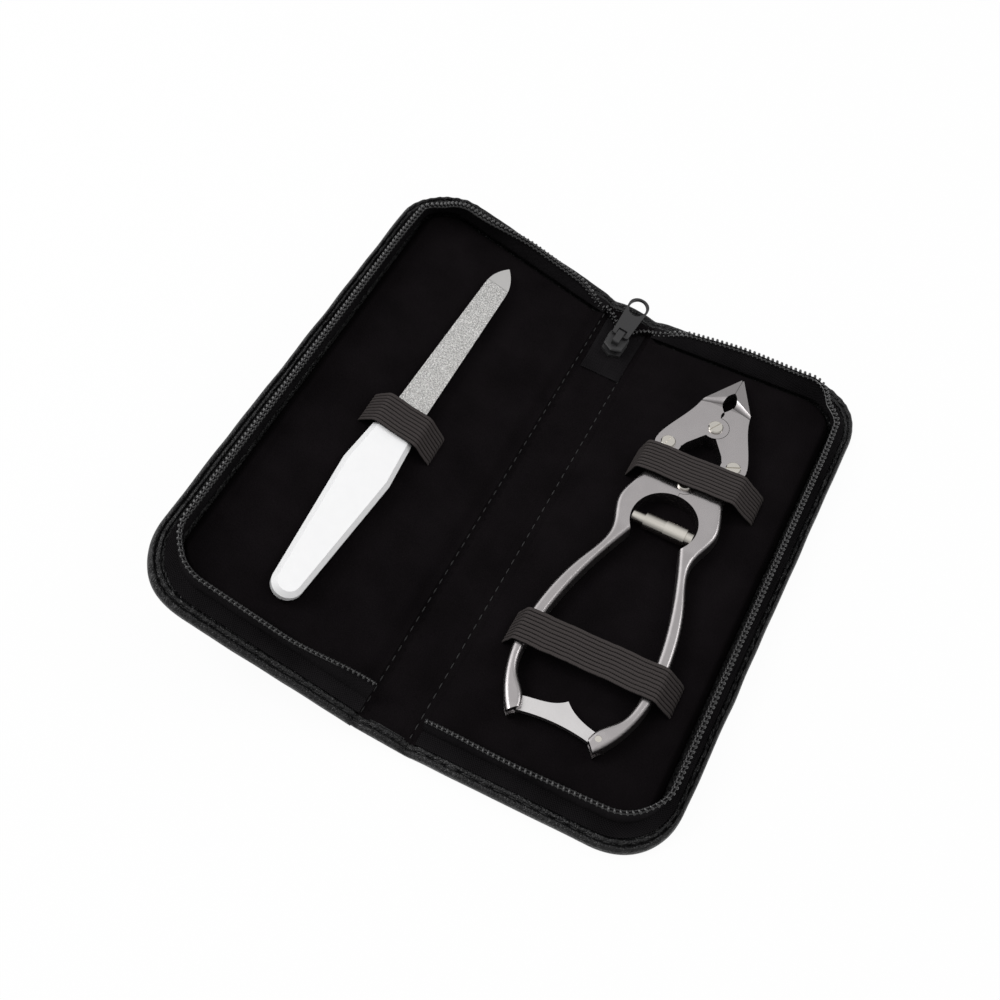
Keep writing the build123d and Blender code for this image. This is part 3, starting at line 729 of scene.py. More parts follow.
@dataclass(frozen=True)
class LeafPath:
    """A U-shaped line round a leaf: one end, a corner, the side, a corner and the other end."""

    side: float
    end: float
    corner: float
    start: float = SIZES.start

    def runs(self) -> Triple:
        """Length of an end's straight, of a corner and of the side's straight."""
        end = SIZES.width - self.side - self.corner - self.start
        return end, self.corner * pi / 2, SIZES.length - 2 * (self.end + self.corner)

    def run_to(self, k: float) -> float:
        """Length of the line up to a station.

        Args:
            k: the station.

        Returns:
            The length in millimetres.
        """
        end, turn, side = self.runs()
        whole = min(int(k), 4)
        stretches = (end, turn, side, turn, end)
        return sum(stretches[:whole]) + stretches[whole] * (k - whole)

    def stations(self, step: float) -> list[float]:
        """Values from 0 to 5, one unit a stretch, about a step apart along the line.

        Args:
            step: distance between stations.

        Returns:
            The stations, with both ends.
        """
        end, turn, side = self.runs()
        found: list[float] = [0.0]
        for i, run in enumerate((end, turn, side, turn, end)):
            found += spread(i, i + 1, step / run)[1:]
        return found

    def at(self, k: float) -> tuple[Vector, Vector]:
        """Point and outward direction at a station.

        Args:
            k: the station.

        Returns:
            The point and the unit vector that points out of the leaf.
        """
        right = SIZES.width - self.side - self.corner
        top = SIZES.length / 2 - self.end - self.corner
        stretch, t = min(int(k), 4), k - min(int(k), 4)
        if stretch in (0, 4):
            x = self.start + (right - self.start) * (t if stretch == 0 else 1 - t)
            y = (top + self.corner) * (-1 if stretch == 0 else 1)
            return Vector((x, y, 0)), Vector((0, copysign(1, y), 0))
        if stretch == 2:
            return Vector((right + self.corner, top * (2 * t - 1), 0)), Vector((1, 0, 0))
        angle = radians(90 * (t - 1 if stretch == 1 else t))
        out = Vector((cos(angle), sin(angle), 0))
        return Vector((right, -top if stretch == 1 else top, 0)) + out * self.corner, out

    def reach(self, x: float) -> float:
        """Half the length of the area inside the line at x."""
        over = x - (SIZES.width - self.side - self.corner)
        drop = self.corner - sqrt(max(0.0, self.corner ** 2 - max(0.0, over) ** 2))
        return SIZES.length / 2 - self.end - drop

    def even(self, pitch: float) -> list[tuple[float, Vector, Vector, Vector]]:
        """Stations and points a pitch apart with their outward and forward directions.

        Args:
            pitch: distance between points along the line.

        Returns:
            For each point its station, place, outward and forward direction.
        """
        marks = self.stations(0.25)
        points = [(k, *self.at(k)) for k in marks]
        found, run, due = [], 0.0, pitch / 2
        for (k, p, out), (_, q, _) in zip(points, points[1:]):
            step = (q - p).length
            while run + step >= due:
                found.append((k, p.lerp(q, (due - run) / step), out, (q - p).normalized()))
                due += pitch
            run += step
        return found


class Half(Enum):
    """Which leaf."""

    RIGHT = 1
    LEFT = -1

    def called(self, thing: str) -> str:
        """Name of a thing on this side."""
        return f"{self.name.lower()}_{thing}"


# How far the zip's wall leans out, and how full the soft edge is, at stations round each leaf.
LEAN_MARKS = (0.0, 0.55, 1.0, 1.5, 2.0, 2.85, 3.4, 4.0, 4.45, 5.0)
LEANS = {Half.RIGHT: (-1.3, -0.1, -0.1, 0.1, 1.2, 0.8, -2.4, 2.0, 3.6, 2.2),
         Half.LEFT: (-3.4, -0.2, -0.2, 0.2, 1.4, 1.2, -2.8, -1.8, 1.7, 1.7)}
FULL_MARKS = (0.0, 1.0, 1.5, 2.0, 3.0, 3.5, 4.0, 5.0)
FULLNESS = {Half.RIGHT: (0.0, 0.0, 0.8, 0.0, 0.2, 0.8, 0.0, 0.0),
            Half.LEFT: (0.3, 0.6, 1.6, 1.2, 0.3, -1.0, 0.0, 0.0)}


@dataclass
class Leaf:
    """One leaf of the case: leather, lining pad, zip wall with teeth, and stitches."""

    half: Half
    slits: Section
    skin: float = 0.86
    skin_middle: float = 0.45
    rim_drop: float = 1.7
    crease_drop: float = 1.5
    slit_dent: float = 0.5
    foot_top: float = 2.95
    wall_foot: float = 3.2
    tooth_pitch: float = 1.65
    tooth_drop: float = 0.85
    cord_drop: float = 1.4
    stitch_pitch: float = 4.7
    stitch_height: float = 2.85
    name: str = field(init=False)
    body: str = field(init=False)

    def __post_init__(self) -> None:
        """Names the leaf and its body, and draws its guide lines."""
        self.name = self.half.name.lower()
        self.body = f"{self.name}_leaf"
        self.outer_line = self.between(0.0, 1.5)
        self.inner_line = self.between(1.0, 1.5)
        half = SIZES.tape / 2
        self.tape_line = LeafPath(SIZES.tape_side + half, SIZES.tape_end + half,
                                  SIZES.tape_corner - half)

    def matrix(self) -> Matrix:
        """From the leaf's axes, in millimetres, to the frame."""
        if self.half is Half.RIGHT:
            return Matrix.Translation(Vector((-SIZES.width / 2 * MM, 0, 0))) @ Matrix.Scale(MM, 4)
        turn = Matrix.Rotation(radians(SIZES.fold), 4, "Y")
        raised = SIZES.spine_matrix() @ Matrix.Translation((-SIZES.spine, 0, 0)) @ turn
        return raised @ Matrix.Translation((0, 0, -SIZES.hinge)) @ Matrix.Diagonal((-1, 1, 1, 1))

    def between(self, share: float, start: float) -> LeafPath:
        """The line at a share of the border, from the leaf's edge (0) to the zip (1).

        Args:
            share: share of the border.
            start: distance of the line's ends from the crease.

        Returns:
            The line.
        """
        corner = SIZES.corner + share * (SIZES.tape_corner + SIZES.gap - SIZES.corner)
        return LeafPath(share * (SIZES.tape_side - SIZES.gap), share * (SIZES.tape_end - SIZES.gap),
                        corner, start)

    def across(self, x: float) -> float:
        """A place across the leaf, measured across the open case from the right crease."""
        return x if self.half is Half.RIGHT else -SIZES.spine - x

    def lean(self, k: float) -> float:
        """How far the top of the zip's wall leans out at a station."""
        return eased(LEAN_MARKS, LEANS[self.half], k)

    def border(self, k: float, share: float) -> Vector:
        """A point of the border between the leaf's edge (0) and the zip (1)."""
        return self.outer_line.at(k)[0].lerp(self.inner_line.at(k)[0], share)

    def fuller(self, k: float) -> float:
        """How far the soft edge stands out at a station."""
        return eased(FULL_MARKS, FULLNESS[self.half], k)

    def gather(self, k: float) -> float:
        """How much the leather gathers at a station: most at the corners."""
        return max(ease(1.4 - abs(k - 1.5) * 1.6), ease(1.4 - abs(k - 3.5) * 1.6))

    def leather(self) -> Piece:
        """Outer skin with its edge rolled up and over, gathered at the corners."""

        def place(k: float, j: float) -> Vector:
            """Lays the section across the border, with gathers on its upper side."""
            share, height = EDGE[int(j)]
            point, out = self.border(k, share), self.outer_line.at(k)[1]
            u = self.across(point.x)
            gather = self.gather(k) * 0.17 * sin(k * 58.0 + 2.0 * wrinkle(k * 6.0, share))
            full = self.fuller(k) + 0.3 * wrinkle(u / 13, point.y / 13, 9.0)
            point += out * ((1 - share) * full)
            return point + UP * (edge_height(u, point.y, height, gather))

        name = f"{self.name}_leather"
        rim = wrapped(name, self.outer_line.stations(0.8), range(len(EDGE)), place)
        close_tube(rim)
        xs = spread(1.5, SIZES.width - 0.6 * SIZES.tape_side, 2.0)
        line = self.between(0.6, 1.5)
        skin = wrapped("skin", xs, spread(-1, 1, 0.02),
                       lambda x, v: Vector((x, v * line.reach(x), self.skin_middle)))
        thicken(skin, self.skin, 0.0)
        piece = settle(join(name, [rim, skin]), self.matrix(), Finish.LEATHER)
        cover, board = f"{self.name}_outer_cover", f"{self.name}_board"
        return hand_over(piece, self.body, "leather", cover, board)

    def pad(self) -> Piece:
        """Suede lining over thin foam, pinched at the strap slits and sloping to the crease."""
        inset = SIZES.tape + 0.75
        corner = SIZES.tape_corner - inset
        line = LeafPath(SIZES.tape_side + inset, SIZES.tape_end + inset, corner)
        last = SIZES.width - line.side

        def place(x: float, v: float) -> Vector:
            """Lays the pad's upper face."""
            half = line.reach(x)
            gap = min(half * (1 - abs(v)) + 0.001, last - x)
            height = SIZES.pad_top - self.rim_drop * (1 - ease(gap / 2.2) ** 0.6)
            height -= self.crease_drop * (1 - ease((x - SIZES.start) / 5.5))
            y = v * half
            for slit_x, slit_y in self.slits:
                beside = ease(1.25 - abs(y - slit_y) / 6.4)
                height -= self.slit_dent * beside * exp(-((x - slit_x) / 1.7) ** 2)
            height += 0.07 * wrinkle(x / 11, y / 13) + 0.04 * wrinkle(x / 4, y / 4, 7.0)
            return Vector((x, y, height))

        xs = spread(SIZES.start, last - 3, 1.1) + spread(last - 3, last, 0.5)[1:]
        vs = [copysign(1 - (1 - abs(v)) ** 1.25, v) for v in spread(-1, 1, 0.0125)]
        piece = wrapped(f"{self.name}_pad", xs, vs, place)
        mesh = bpy.ops.mesh
        edit(piece, (mesh.select_all, {"action": "DESELECT"}), (mesh.select_mode, {"type": "VERT"}),
             (mesh.select_non_manifold, {}), (mesh.extrude_edges_move, {}),
             (mesh.edge_face_add, {}))
        for vertex in piece.data.vertices:
            if vertex.select:
                vertex.co.z = SIZES.board_top
        settle(piece, self.matrix(), Finish.SUEDE, 80)
        hand_over(piece, self.body, "suede", f"{self.name}_lining_pad")
        return piece

    def tape(self) -> Piece:
        """Woven tape: a foot sewn on the border that turns up into the zip's wall."""
        foot = 1 - ROLL

        def place(k: float, t: float) -> Vector:
            """Lays the tape from its foot (-1 to 0) to the teeth (0 to 1)."""
            point, out = self.tape_line.at(k)
            top = SIZES.rim(point.x, point.y) - 1.0
            if t < 0:
                share = 1 + t * foot
                wave = 0.1 * wrinkle(k * 8, t * 2, 4.0)
                return self.border(k, share) + UP * (self.foot_top + wave + 0.5 * ease(1 + t * 5))
            bow = 0.35 * sin(pi * t) + 0.2 * wrinkle(k * 7, t)
            aside = 0.1 + bow * 0.5 + self.lean(k) * t ** 1.3
            rise = self.wall_foot + (top - self.wall_foot) * t
            return point + out * aside + UP * rise

        def uv(k: float, t: float) -> Pair:
            """Unrolls the tape."""
            return plain_uv(self.tape_line.run_to(k), t * (8.0 if t > 0 else 4.2))

        rows = [-1, -0.7, -0.4, -0.15, 0, 0.15, 0.4, 0.7, 1]
        piece = wrapped(f"{self.name}_tape", self.tape_line.stations(1.0), rows, place, uv)
        thicken(piece, 0.5, 0.0)
        settle(piece, self.matrix(), Finish.TAPE, 70)
        hand_over(piece, self.body, "tape", f"{self.name}_zip_tape")
        return piece

    def teeth(self) -> Piece:
        """Coil of nylon teeth on the tape's edge, over the cord that they are sewn to."""
        places = []
        for k, point, out, along in self.tape_line.even(self.tooth_pitch):
            top, lean = SIZES.rim(point.x, point.y), self.lean(k)
            ahead = point + along
            slope = SIZES.rim(ahead.x, ahead.y) - top
            up = out * lean * 0.9 + UP * (top - self.wall_foot)
            spot = point + out * lean + UP * (top - self.tooth_drop)
            places.append(facing(spot, along + UP * slope, up))
        row = copies("row", coil_turn(), places)

        def cord(k: float, a: float) -> Vector:
            """Lays the cord's skin under the teeth."""
            point, out = self.tape_line.at(k)
            top = SIZES.rim(point.x, point.y)
            turn = a * tau
            aside = self.lean(k) + 0.6 * cos(turn)
            return point + out * aside + UP * (top - self.cord_drop + 0.4 * sin(turn))

        core = wrapped("core", self.tape_line.stations(1.2), spread(0, 1, 0.1), cord)
        close_tube(core)
        piece = settle(join(f"{self.name}_teeth", [row, core]), self.matrix(), Finish.NYLON)
        return hand_over(piece, self.body, "coil", f"{self.name}_zip_coil")

    def stitches(self) -> Piece:
        """Row of stitches that holds the rolled edge down on the tape."""
        places = []
        for _, p, _, along in self.between(0.25, 2.5).even(self.stitch_pitch):
            height = edge_height(self.across(p.x), p.y, self.stitch_height)
            places.append(facing(p + UP * height, along, UP))
        piece = copies(f"{self.name}_stitches", stitch(2.6, 0.3), places)
        settle(piece, self.matrix(), Finish.THREAD, 80)
        return hand_over(piece, self.body, "leather")

    def build(self) -> None:
        """Makes all that belongs to the leaf."""
        for make in (self.leather, self.pad, self.tape, self.teeth, self.stitches):
            make()


@dataclass
class ElasticLoop:
    """A ribbed elastic strap from slit to slit, over the tool beneath it."""

    name: str
    leaf: Leaf
    y: float
    points: Section
    over: Sequence[str]
    width: float = 11.6
    thick: float = 1.0
    ribs: int = 9
    bend: float = 0.9

    def outline(self) -> list[Vector]:
        """The strap's inner line with its corners eased."""
        corners = [Vector((x, 0, z)) for x, z in self.points]
        line = [corners[0]]
        for before, corner, after in zip(corners, corners[1:], corners[2:]):
            first, last = (corner + way.normalized() * min(self.bend, way.length / 2)
                           for way in (before - corner, after - corner))
            for i in range(9):
                t = i / 8
                line.append(first * (1 - t) ** 2 + corner * 2 * t * (1 - t) + last * t * t)
        return [*line, corners[-1]]

    def build(self) -> Piece:
        """Makes the strap and gives it to its leaf."""
        line = self.outline()
        dense: list[Vector] = [line[0]]
        for a, b in zip(line, line[1:]):
            dense += [a.lerp(b, t) for t in spread(0, 1, 1.0 / max(1.0, (b - a).length))[1:]]
        runs = [0.0]
        for a, b in zip(dense, dense[1:]):
            runs.append(runs[-1] + (b - a).length)
        place_of = dict(zip(runs, range(len(dense))))

        def place(run: float, v: float) -> Vector:
            """Lays the strap's outer face with its lengthwise ribs."""
            i = place_of[run]
            tangent = dense[min(i + 1, len(dense) - 1)] - dense[max(i - 1, 0)]
            normal = Vector((-tangent.z, 0, tangent.x)).normalized()
            rib = abs(sin((v + 0.5) * self.ribs * pi)) ** 0.6
            lift = self.thick - 0.4 + 0.34 * rib + 0.08 * wrinkle(run / 5, v * 5, self.y)
            spot = dense[i] + normal * lift
            ripple = 0.3 * wrinkle(run / 7, self.y) + 0.12 * wrinkle(run / 1.6, self.y + v)
            gather = 1 - 0.05 * exp(-((min(run, runs[-1] - run) / 3) ** 2))
            return Vector((spot.x, self.y + v * self.width * gather + ripple, spot.z))

        def uv(run: float, v: float) -> Pair:
            """Counts centimetres along the strap and ribs across it."""
            return run * UV_SCALE, (v + 0.5) * self.ribs

        rows = spread(-0.5, 0.5, 1 / (self.ribs * 6))
        piece = wrapped(self.name.replace("loop", "strap"), runs, rows, place, uv)
        thicken(piece, 0.6)
        settle(piece, self.leaf.matrix(), Finish.ELASTIC, 40)
        hand_over(piece, self.leaf.body, "elastic", self.name)
        return (piece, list(self.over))[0]


@dataclass
class Spine:
    """The case's back between the creases, with the linings that bend at both creases."""

    tab: Pair = (58.4, 81.4)
    slider: Pair = (71.4, 9.4)
    lining_end: float = 3.3
    seam: float = 1.0
    stitch_pitch: float = 3.6
    suede_edge: float = 2.2
    suede_height: float = 0.48
    end_rise: float = 0.6
    thick: float = 0.5
    tab_height: float = 1.24
    band_foot: float = 0.9
    lead_pitch: float = 1.6

    def half_lining(self) -> float:
        """Half the length of the spine's linings."""
        return SIZES.length / 2 - self.lining_end

    def end_lift(self, y: float) -> float:
        """How far the linings rise onto the rolled leather near both ends."""
        return self.end_rise * ease((abs(y) - self.half_lining() + 3.0) / 2.5)

    def lining(self) -> Piece:
        """Suede strip on the spine, a little full between its seams."""
        edge, half = self.suede_edge, self.half_lining()

        def place(x: float, y: float) -> Vector:
            """Lays the strip's upper face."""
            gap = min(-x - edge, x + SIZES.spine - edge)
            full = 0.3 * ease(gap / 2.4) + 0.05 * wrinkle(x / 5, y / 9, 2.0)
            return Vector((x, y, self.suede_height + full + self.end_lift(y)))

        xs = spread(-SIZES.spine + edge, -edge, 0.8)
        piece = wrapped("spine_suede", xs, spread(-half, half, 1.5), place)
        thicken(piece, 0.9)
        settle(piece, SIZES.spine_matrix(), Finish.SUEDE, 70)
        hand_over(piece, "spine", "suede", "spine_lining")
        return piece

    def edge_line(self) -> list[Pair]:
        """Leather's line from end to end: y and height above the underside."""
        half, border = SIZES.length / 2, SIZES.tape_end - SIZES.gap
        near = [(-half + share * border, height) for share, height in reversed(EDGE[2:-2])]
        return near + [(-y, height) for y, height in reversed(near)]

    def rolled(self, name: str, columns: Sequence[float],
               lay: Callable[[float, float, float], Vector]) -> Piece:
        """Leather across the spine, rolled in at both ends.

        Args:
            name: the piece's name.
            columns: places across the spine.
            lay: gives the point of a place across, a place along and a height.

        Returns:
            The sheet, in millimetres.
        """
        line = self.edge_line()
        piece = wrapped(name, columns, range(len(line)), lambda x, j: lay(x, *line[int(j)]))
        thicken(piece, self.thick, 1.0)
        return piece

    def leather(self) -> Piece:
        """Leather back of the spine."""

        def lay(x: float, y: float, height: float) -> Vector:
            """Lays the leather with its creases."""
            return Vector((x, y, edge_height(x, y, height) - SIZES.hinge))

        piece = self.rolled("spine_leather", spread(-SIZES.spine + 1.5, -1.5, 0.8), lay)
        settle(piece, SIZES.spine_matrix(), Finish.LEATHER, 60)
        return hand_over(piece, "spine", "leather", "spine_cover")

    def crease_matrix(self, half: Half) -> Matrix:
        """From axes that halve a crease's angle, with x towards its leaf, to the frame.

        Args:
            half: which crease.

        Returns:
            The matrix.
        """
        turn = Matrix.Rotation(radians(SIZES.fold) / 2, 4, "Y")
        if half is Half.RIGHT:
            shift = Matrix.Translation(Vector((-SIZES.width / 2, 0, SIZES.hinge)) * MM)
            return shift @ turn @ Matrix.Scale(MM, 4)
        raised = SIZES.spine_matrix() @ Matrix.Translation((-SIZES.spine, 0, 0)) @ turn
        return raised @ Matrix.Diagonal((-1, 1, 1, 1))

    def bent(self, s: float, y: float, height: float) -> Vector:
        """A point at a distance from the crease and a height above its axis, on the bent line.

        Args:
            s: distance from the crease, positive on the leaf.
            y: place along the crease.
            height: height above the crease's axis.

        Returns:
            The point, in the crease's axes.
        """
        half_angle = radians(SIZES.fold) / 2
        tilt = half_angle * (1 - 2 * ease(s / 2.2 + 0.5))
        rise = hypot(s, 0.2) * sin(half_angle)
        return Vector((s * cos(half_angle) + height * sin(tilt), y,
                       rise + height * cos(tilt)))

    def hand_to_crease(self, piece: Piece, half: Half) -> Piece:
        """Bakes a finished piece at a crease into its mesh and logs its faces.

        Args:
            piece: the finished object.
            half: which crease.

        Returns:
            The piece.
        """
        matrix = self.crease_matrix(half)
        start, end = matrix @ Vector((1.4, 0, 0)), matrix @ Vector((-1.4, 0, 0))
        tuple(start)
        tuple(end)
        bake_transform(piece)
        LOG.info("%s: %d faces", piece.name, len(piece.data.polygons))
        return piece

    def swell(self, s: float, y: float) -> float:
        """Height of a crease's suede above the crease's axis, between its seams.

        Args:
            s: distance from the crease, positive on the leaf.
            y: place along the crease.

        Returns:
            The height.
        """
        height = 0.64 + 1.3 * ease(s / 4.4 + 0.4) - 0.25 * exp(-((s / 1.2) ** 2))
        height += 0.05 * wrinkle(s / 3, y / 7) - 0.8 * ease((s - 1.8) / 2.5)
        return height + self.end_lift(y) * ease(0.5 - s)

    def crease_seam(self, half: Half) -> Piece:
        """Row of stitches along the seam on the left side of a crease.

        Args:
            half: which crease.

        Returns:
            The row of stitches.
        """
        s = -half.value * self.seam
        ends = self.half_lining() - 2.0
        along = Vector((0, 1, 0))
        places = [facing(self.bent(s, y, self.swell(s, y)), along, UP)
                  for y in spread(-ends, ends, self.stitch_pitch)]
        piece = copies(half.called("crease_seam"), stitch(2.4, 0.22), places)
        settle(piece, self.crease_matrix(half), Finish.SEAM, 80)
        return self.hand_to_crease(piece, half)

    def crease_lining(self, half: Half, reach: float = 5.1) -> Piece:
        """Suede that bends at one crease, with its stitched seams.

        Args:
            half: which crease.
            reach: half the strip's width.

        Returns:
            The strip.
        """
        ends = self.half_lining()

        def place(s: float, y: float) -> Vector:
            """Lays the strip's upper face; s is positive on the leaf."""
            beside_zip = ease(SIZES.length / 2 - SIZES.tape_end - 0.4 - abs(y))
            s = min(s, 1.6 + (reach - 1.6) * beside_zip)
            height = self.swell(s, y)
            pull = exp(-(((abs(s) - self.seam) / 0.28) ** 2))
            height += pull * (0.2 * sin(y * tau / self.stitch_pitch) - 0.16)
            return self.bent(s, y, height)

        columns = spread(-reach, -2, 0.8) + spread(-2, 2, 0.2)[1:] + spread(2, reach, 0.8)[1:]
        piece = wrapped(half.called("crease_lining"), columns, spread(-ends, ends, 0.7), place)
        thicken(piece, self.thick)
        settle(piece, self.crease_matrix(half), Finish.SUEDE, 70)
        self.hand_to_crease(piece, half)
        return piece

    def crease_leather(self, half: Half, reach: float = 1.9) -> Piece:
        """Leather that bends at one crease, rolled in at both ends as on the leaf.

        Args:
            half: which crease.
            reach: half the strip's width.

        Returns:
            The strip.
        """

        def lay(s: float, y: float, height: float) -> Vector:
            """Lays the leather on the bent line."""
            across = s if half is Half.RIGHT else -SIZES.spine - s
            return self.bent(s, y, edge_height(across, y, height) - SIZES.hinge)

        piece = self.rolled(half.called("crease_leather"), spread(-reach, reach, 0.38), lay)
        settle(piece, self.crease_matrix(half), Finish.LEATHER, 60)
        return self.hand_to_crease(piece, half)

    def end_tab(self) -> Piece:
        """Woven tails of the two tapes, which spread from the slider across the spine."""
        low, high = self.tab
        middle = -SIZES.spine / 2 + 0.2

        def place(v: float, y: float) -> Vector:
            """Lays the tails on the suede, meeting in the middle."""
            width = 13.8 + 0.8 * (y - low) / (high - low)
            x = v * width
            seam = 0.25 * exp(-((x / 0.6) ** 2))
            edge = 0.3 * ease((abs(v) - 0.42) / 0.08)
            slant = 0.8 * v * (high - y) / (high - low)
            height = self.tab_height - seam - edge + 0.05 * wrinkle(x / 3, y / 4)
            return Vector((x + middle, y + slant, height))

        piece = wrapped("end_tab", spread(-0.5, 0.5, 0.04), spread(low, high, 0.8), place,
                        lambda v, y: plain_uv(*place(v, y).xy))
        thicken(piece, 0.4)
        settle(piece, SIZES.spine_matrix(), Finish.TAPE, 60)
        hand_over(piece, "spine", "tape", "zip_end_tab")
        return piece

    def lead(self, half: Half) -> Piece:
        """Teeth and tape that bend from the slider's mouth to a leaf's zip.

        Args:
            half: the leaf that it runs to.

        Returns:
            The piece.
        """
        side = half.value
        y = self.slider[0] + self.slider[1] / 2
        knots = [Vector((side * 1.5, y - 0.6, 3.1)), Vector((side * 2.2, y + 3.2, 3.1)),
                 Vector((side * 6.0, 82.9, 2.7)), Vector((side * 9.2, 83.4, 3.1))]
        line = []
        for t in spread(0, 1, 0.02):
            a = [p.lerp(q, t) for p, q in zip(knots, knots[1:])]
            b = [p.lerp(q, t) for p, q in zip(a, a[1:])]
            line.append(b[0].lerp(b[1], t))
        places, run, due = [], 0.0, 0.4
        for p, q in zip(line, line[1:]):
            run += (q - p).length
            if run >= due:
                places.append(facing(p.lerp(q, 0.5), q - p, UP))
                due += self.lead_pitch
        row = copies("row", coil_turn(), places)

        def place(i: float, t: float) -> Vector:
            """Lays the tape under the teeth, down to the spine."""
            spot = line[int(i)]
            return Vector((spot.x, spot.y, self.band_foot + (spot.z - self.band_foot) * t))

        band = wrapped("band", range(len(line)), (0.0, 0.5, 1.0), place)
        thicken(band, self.thick, 0.0)
        matrix = SIZES.spine_matrix() @ Matrix.Translation((-SIZES.spine / 2, 0, 0))
        piece = settle(join(half.called("lead"), [row, band]), matrix, Finish.NYLON)
        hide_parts(half.called("zip_lead"))
        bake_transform(piece)
        LOG.info("%s: %d faces", piece.name, len(piece.data.polygons))
        return piece

    def build(self) -> None:
        """Makes all that belongs to the spine."""
        for make in (self.lining, self.leather, self.end_tab):
            make()
        for half in Half:
            for make in (self.crease_lining, self.crease_seam, self.crease_leather, self.lead):
                make(half)


@dataclass(frozen=True)
class HardParts:
    """The rigid nodes that show as they are, each with its finish."""

    finishes: tuple[tuple[Finish, tuple[str, ...]], ...] = (
        (Finish.SATIN, ("nipper_left_handle", "nipper_right_handle", "nipper_left_jaw",
                        "nipper_right_jaw")),
        (Finish.PLATE, ("lock_bar",)),
        (Finish.BRIGHT, ("handle_pivot_screw", "left_link_screw", "right_link_screw",
                         "jaw_pivot_screw", "lock_pin", "barrel_spring")),
        (Finish.GRIT, ("file_blade",)),
        (Finish.WHITE, ("file_handle",)),
        (Finish.BLACK_METAL, ("zip_slider", "zip_puller")),
    )

    def build(self) -> None:
        """Gives each node its material."""
        for finish, names in self.finishes:
            for name in names:
                coat(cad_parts[name], finish)
                LOG.info("%s: %s", name, finish.value.name)


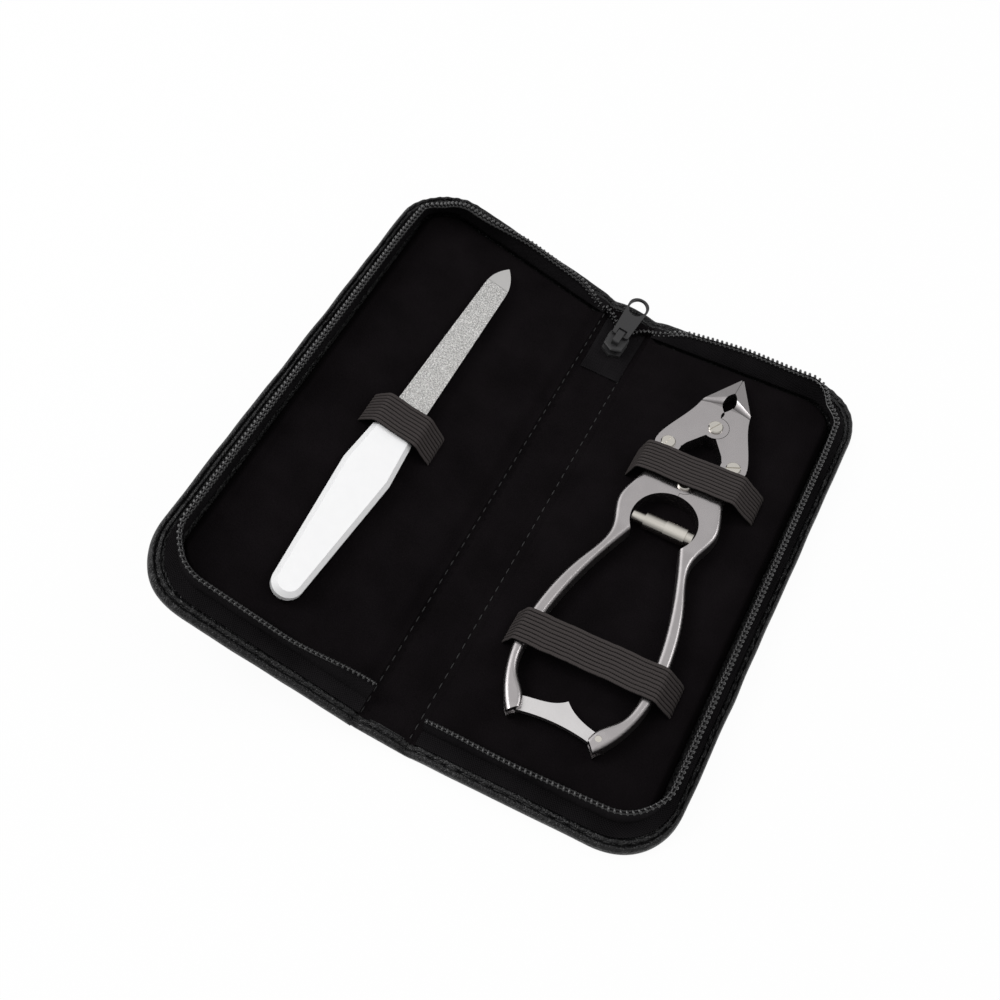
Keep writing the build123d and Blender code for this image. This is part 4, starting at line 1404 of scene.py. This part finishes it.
# ---- the studio -----------------------------------------------------------------------------
@dataclass(frozen=True)
class Studio:
    """Camera, pale floor and soft light."""

    eye: Triple = (0.04753948, -0.20429168, 0.34754694)
    right: Triple = (0.89210591, 0.45179477, 0.00534202)
    down: Triple = (0.38046805, -0.7447833, -0.54821702)
    lens: float = 46.8
    fill: float = 0.7
    horizon: float = 0.35
    tent: Pair = (0.35, 0.95)  # heights of direction where the roof starts and ends
    window: float = 1.5
    side: Pair = (-0.3, -0.9)  # directions along x where the window starts and ends
    floor_size: float = 6.0
    floor_white: float = 0.95  # share of the floor's own shade that the camera sees as white
    boxes: tuple[tuple[Any, ...], ...] = (("key", 2.8, 0.38, (-0.55, -0.1, 0.75)),
                                          ("side", 1.1, 0.3, (0.5, 0.45, 0.6)))

    def camera(self) -> None:
        """Sets the camera."""
        data = bpy.data.cameras.new("camera")
        data.lens, data.sensor_width = self.lens, 36.0
        data.clip_start, data.clip_end = 0.01, 20.0
        camera = bpy.data.objects.new("camera", data)
        right, up = Vector(self.right), -Vector(self.down)
        turn = Matrix((right, up, right.cross(up))).transposed().to_4x4()
        camera.matrix_world = Matrix.Translation(self.eye) @ turn
        bpy.context.scene.collection.objects.link(camera)
        bpy.context.scene.camera = camera

    def floor(self) -> None:
        """A white floor that the camera sees as white and that still takes a faint shadow."""
        deselect()
        bpy.ops.mesh.primitive_plane_add(size=self.floor_size, location=(0, 0, -0.0001))
        floor = bpy.context.object
        floor.name = "floor"
        s = Shader("white_floor")
        s.dress(Base_Color=(0.86, 0.86, 0.86), Roughness=0.9, Specular_IOR_Level=0.0)
        seen = s.ray("Is Camera Ray") + s.ray("Is Glossy Ray") + s.ray("Is Transmission Ray")
        glow = s.node("Emission", {}, {"Color": (1.0, 1.0, 1.0), "Strength": 1.0})
        surface = Socket(s, s.surface.outputs[0])
        mixed = s.node("MixShader", {}, {0: seen * self.floor_white, 1: surface, 2: glow})
        s.feed(s.tree.nodes["Material Output"].inputs["Surface"], mixed)
        floor.data.materials.append(s.material)

    def world(self) -> None:
        """Even light all round, white to the camera; metal sees it fall off towards the sides."""
        world = bpy.data.worlds.new("studio")
        world.use_nodes = True
        g = Graph(world.node_tree)
        sky = g.place("Generated")
        roof = g.node("MapRange", {}, {0: g.part(sky, 2), 1: self.tent[0], 2: self.tent[1],
                                       3: self.horizon, 4: 1.0})
        window = g.node("MapRange", {}, {0: g.part(sky, 0), 1: self.side[0], 2: self.side[1],
                                         3: 0.0, 4: self.window})
        metal = {0: g.ray("Is Glossy Ray"), 2: self.fill, 3: roof + window}
        either = {0: g.ray("Is Camera Ray"), 1: g.ray("Is Transmission Ray")}
        seen = g.node("Math", {"operation": "MAXIMUM"}, either)
        strength = g.node("Mix", {}, {0: seen, 2: g.node("Mix", {}, metal), 3: 1.0})
        background = g.tree.nodes["Background"].inputs
        background["Color"].default_value = (1, 1, 1, 1)
        g.feed(background["Strength"], strength)
        bpy.context.scene.world = world

    def lamps(self) -> None:
        """Two soft boxes."""
        for name, power, size, place in self.boxes:
            data = bpy.data.lights.new(name, "AREA")
            data.energy, data.size = power, size
            lamp = bpy.data.objects.new(name, data)
            lamp.location = place
            lamp.rotation_euler = (-Vector(place)).to_track_quat("-Z", "Y").to_euler()
            bpy.context.scene.collection.objects.link(lamp)

    def build(self) -> None:
        """Sets the studio up."""
        bpy.context.scene.view_settings.view_transform = "Standard"
        self.camera()
        self.floor()
        self.world()
        self.lamps()


# Sections of the three elastic loops, from slit to slit, and their places along the leaves.
UPPER = ((18.1, 2.4), (18.1, 4.7), (20.9, 11.6), (52.5, 11.6), (59.4, 4.7), (59.4, 2.4))
LOWER = ((9.975, 2.4), (9.975, 4.7), (13.175, 10.9), (56.975, 10.9), (61.975, 4.7), (61.975, 2.4))
FILE = ((24.2, 2.4), (24.2, 4.7), (30.5, 10.1), (44.7, 10.1), (48.4, 4.7), (48.4, 2.4))
UPPER_Y, LOWER_Y, FILE_Y = 29.5, -42.0, -2.8


def main() -> None:
    """Builds the studio, the case and its tools."""
    logging.basicConfig(level=logging.INFO, format="%(name)s: %(message)s")
    Studio().build()
    right, left = (Leaf(half, [(points[end][0], y) for points, y in straps for end in (0, -1)])
                   for half, straps in ((Half.RIGHT, ((UPPER, UPPER_Y), (LOWER, LOWER_Y))),
                                        (Half.LEFT, ((FILE, FILE_Y),))))
    for leaf in (right, left):
        leaf.build()
    jaws = ("nipper_left_jaw", "nipper_right_jaw", "left_link_screw", "right_link_screw")
    ElasticLoop("right_upper_loop", right, UPPER_Y, UPPER, jaws).build()
    handles = ("nipper_left_handle", "nipper_right_handle")
    lower = ElasticLoop("right_lower_loop", right, LOWER_Y, LOWER, handles).build()
    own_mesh(lower)
    ElasticLoop("left_loop", left, FILE_Y, FILE, ("file_handle", "file_blade")).build()
    Spine().build()
    HardParts().build()
    deselect()


if __name__ == "__main__":
    main()
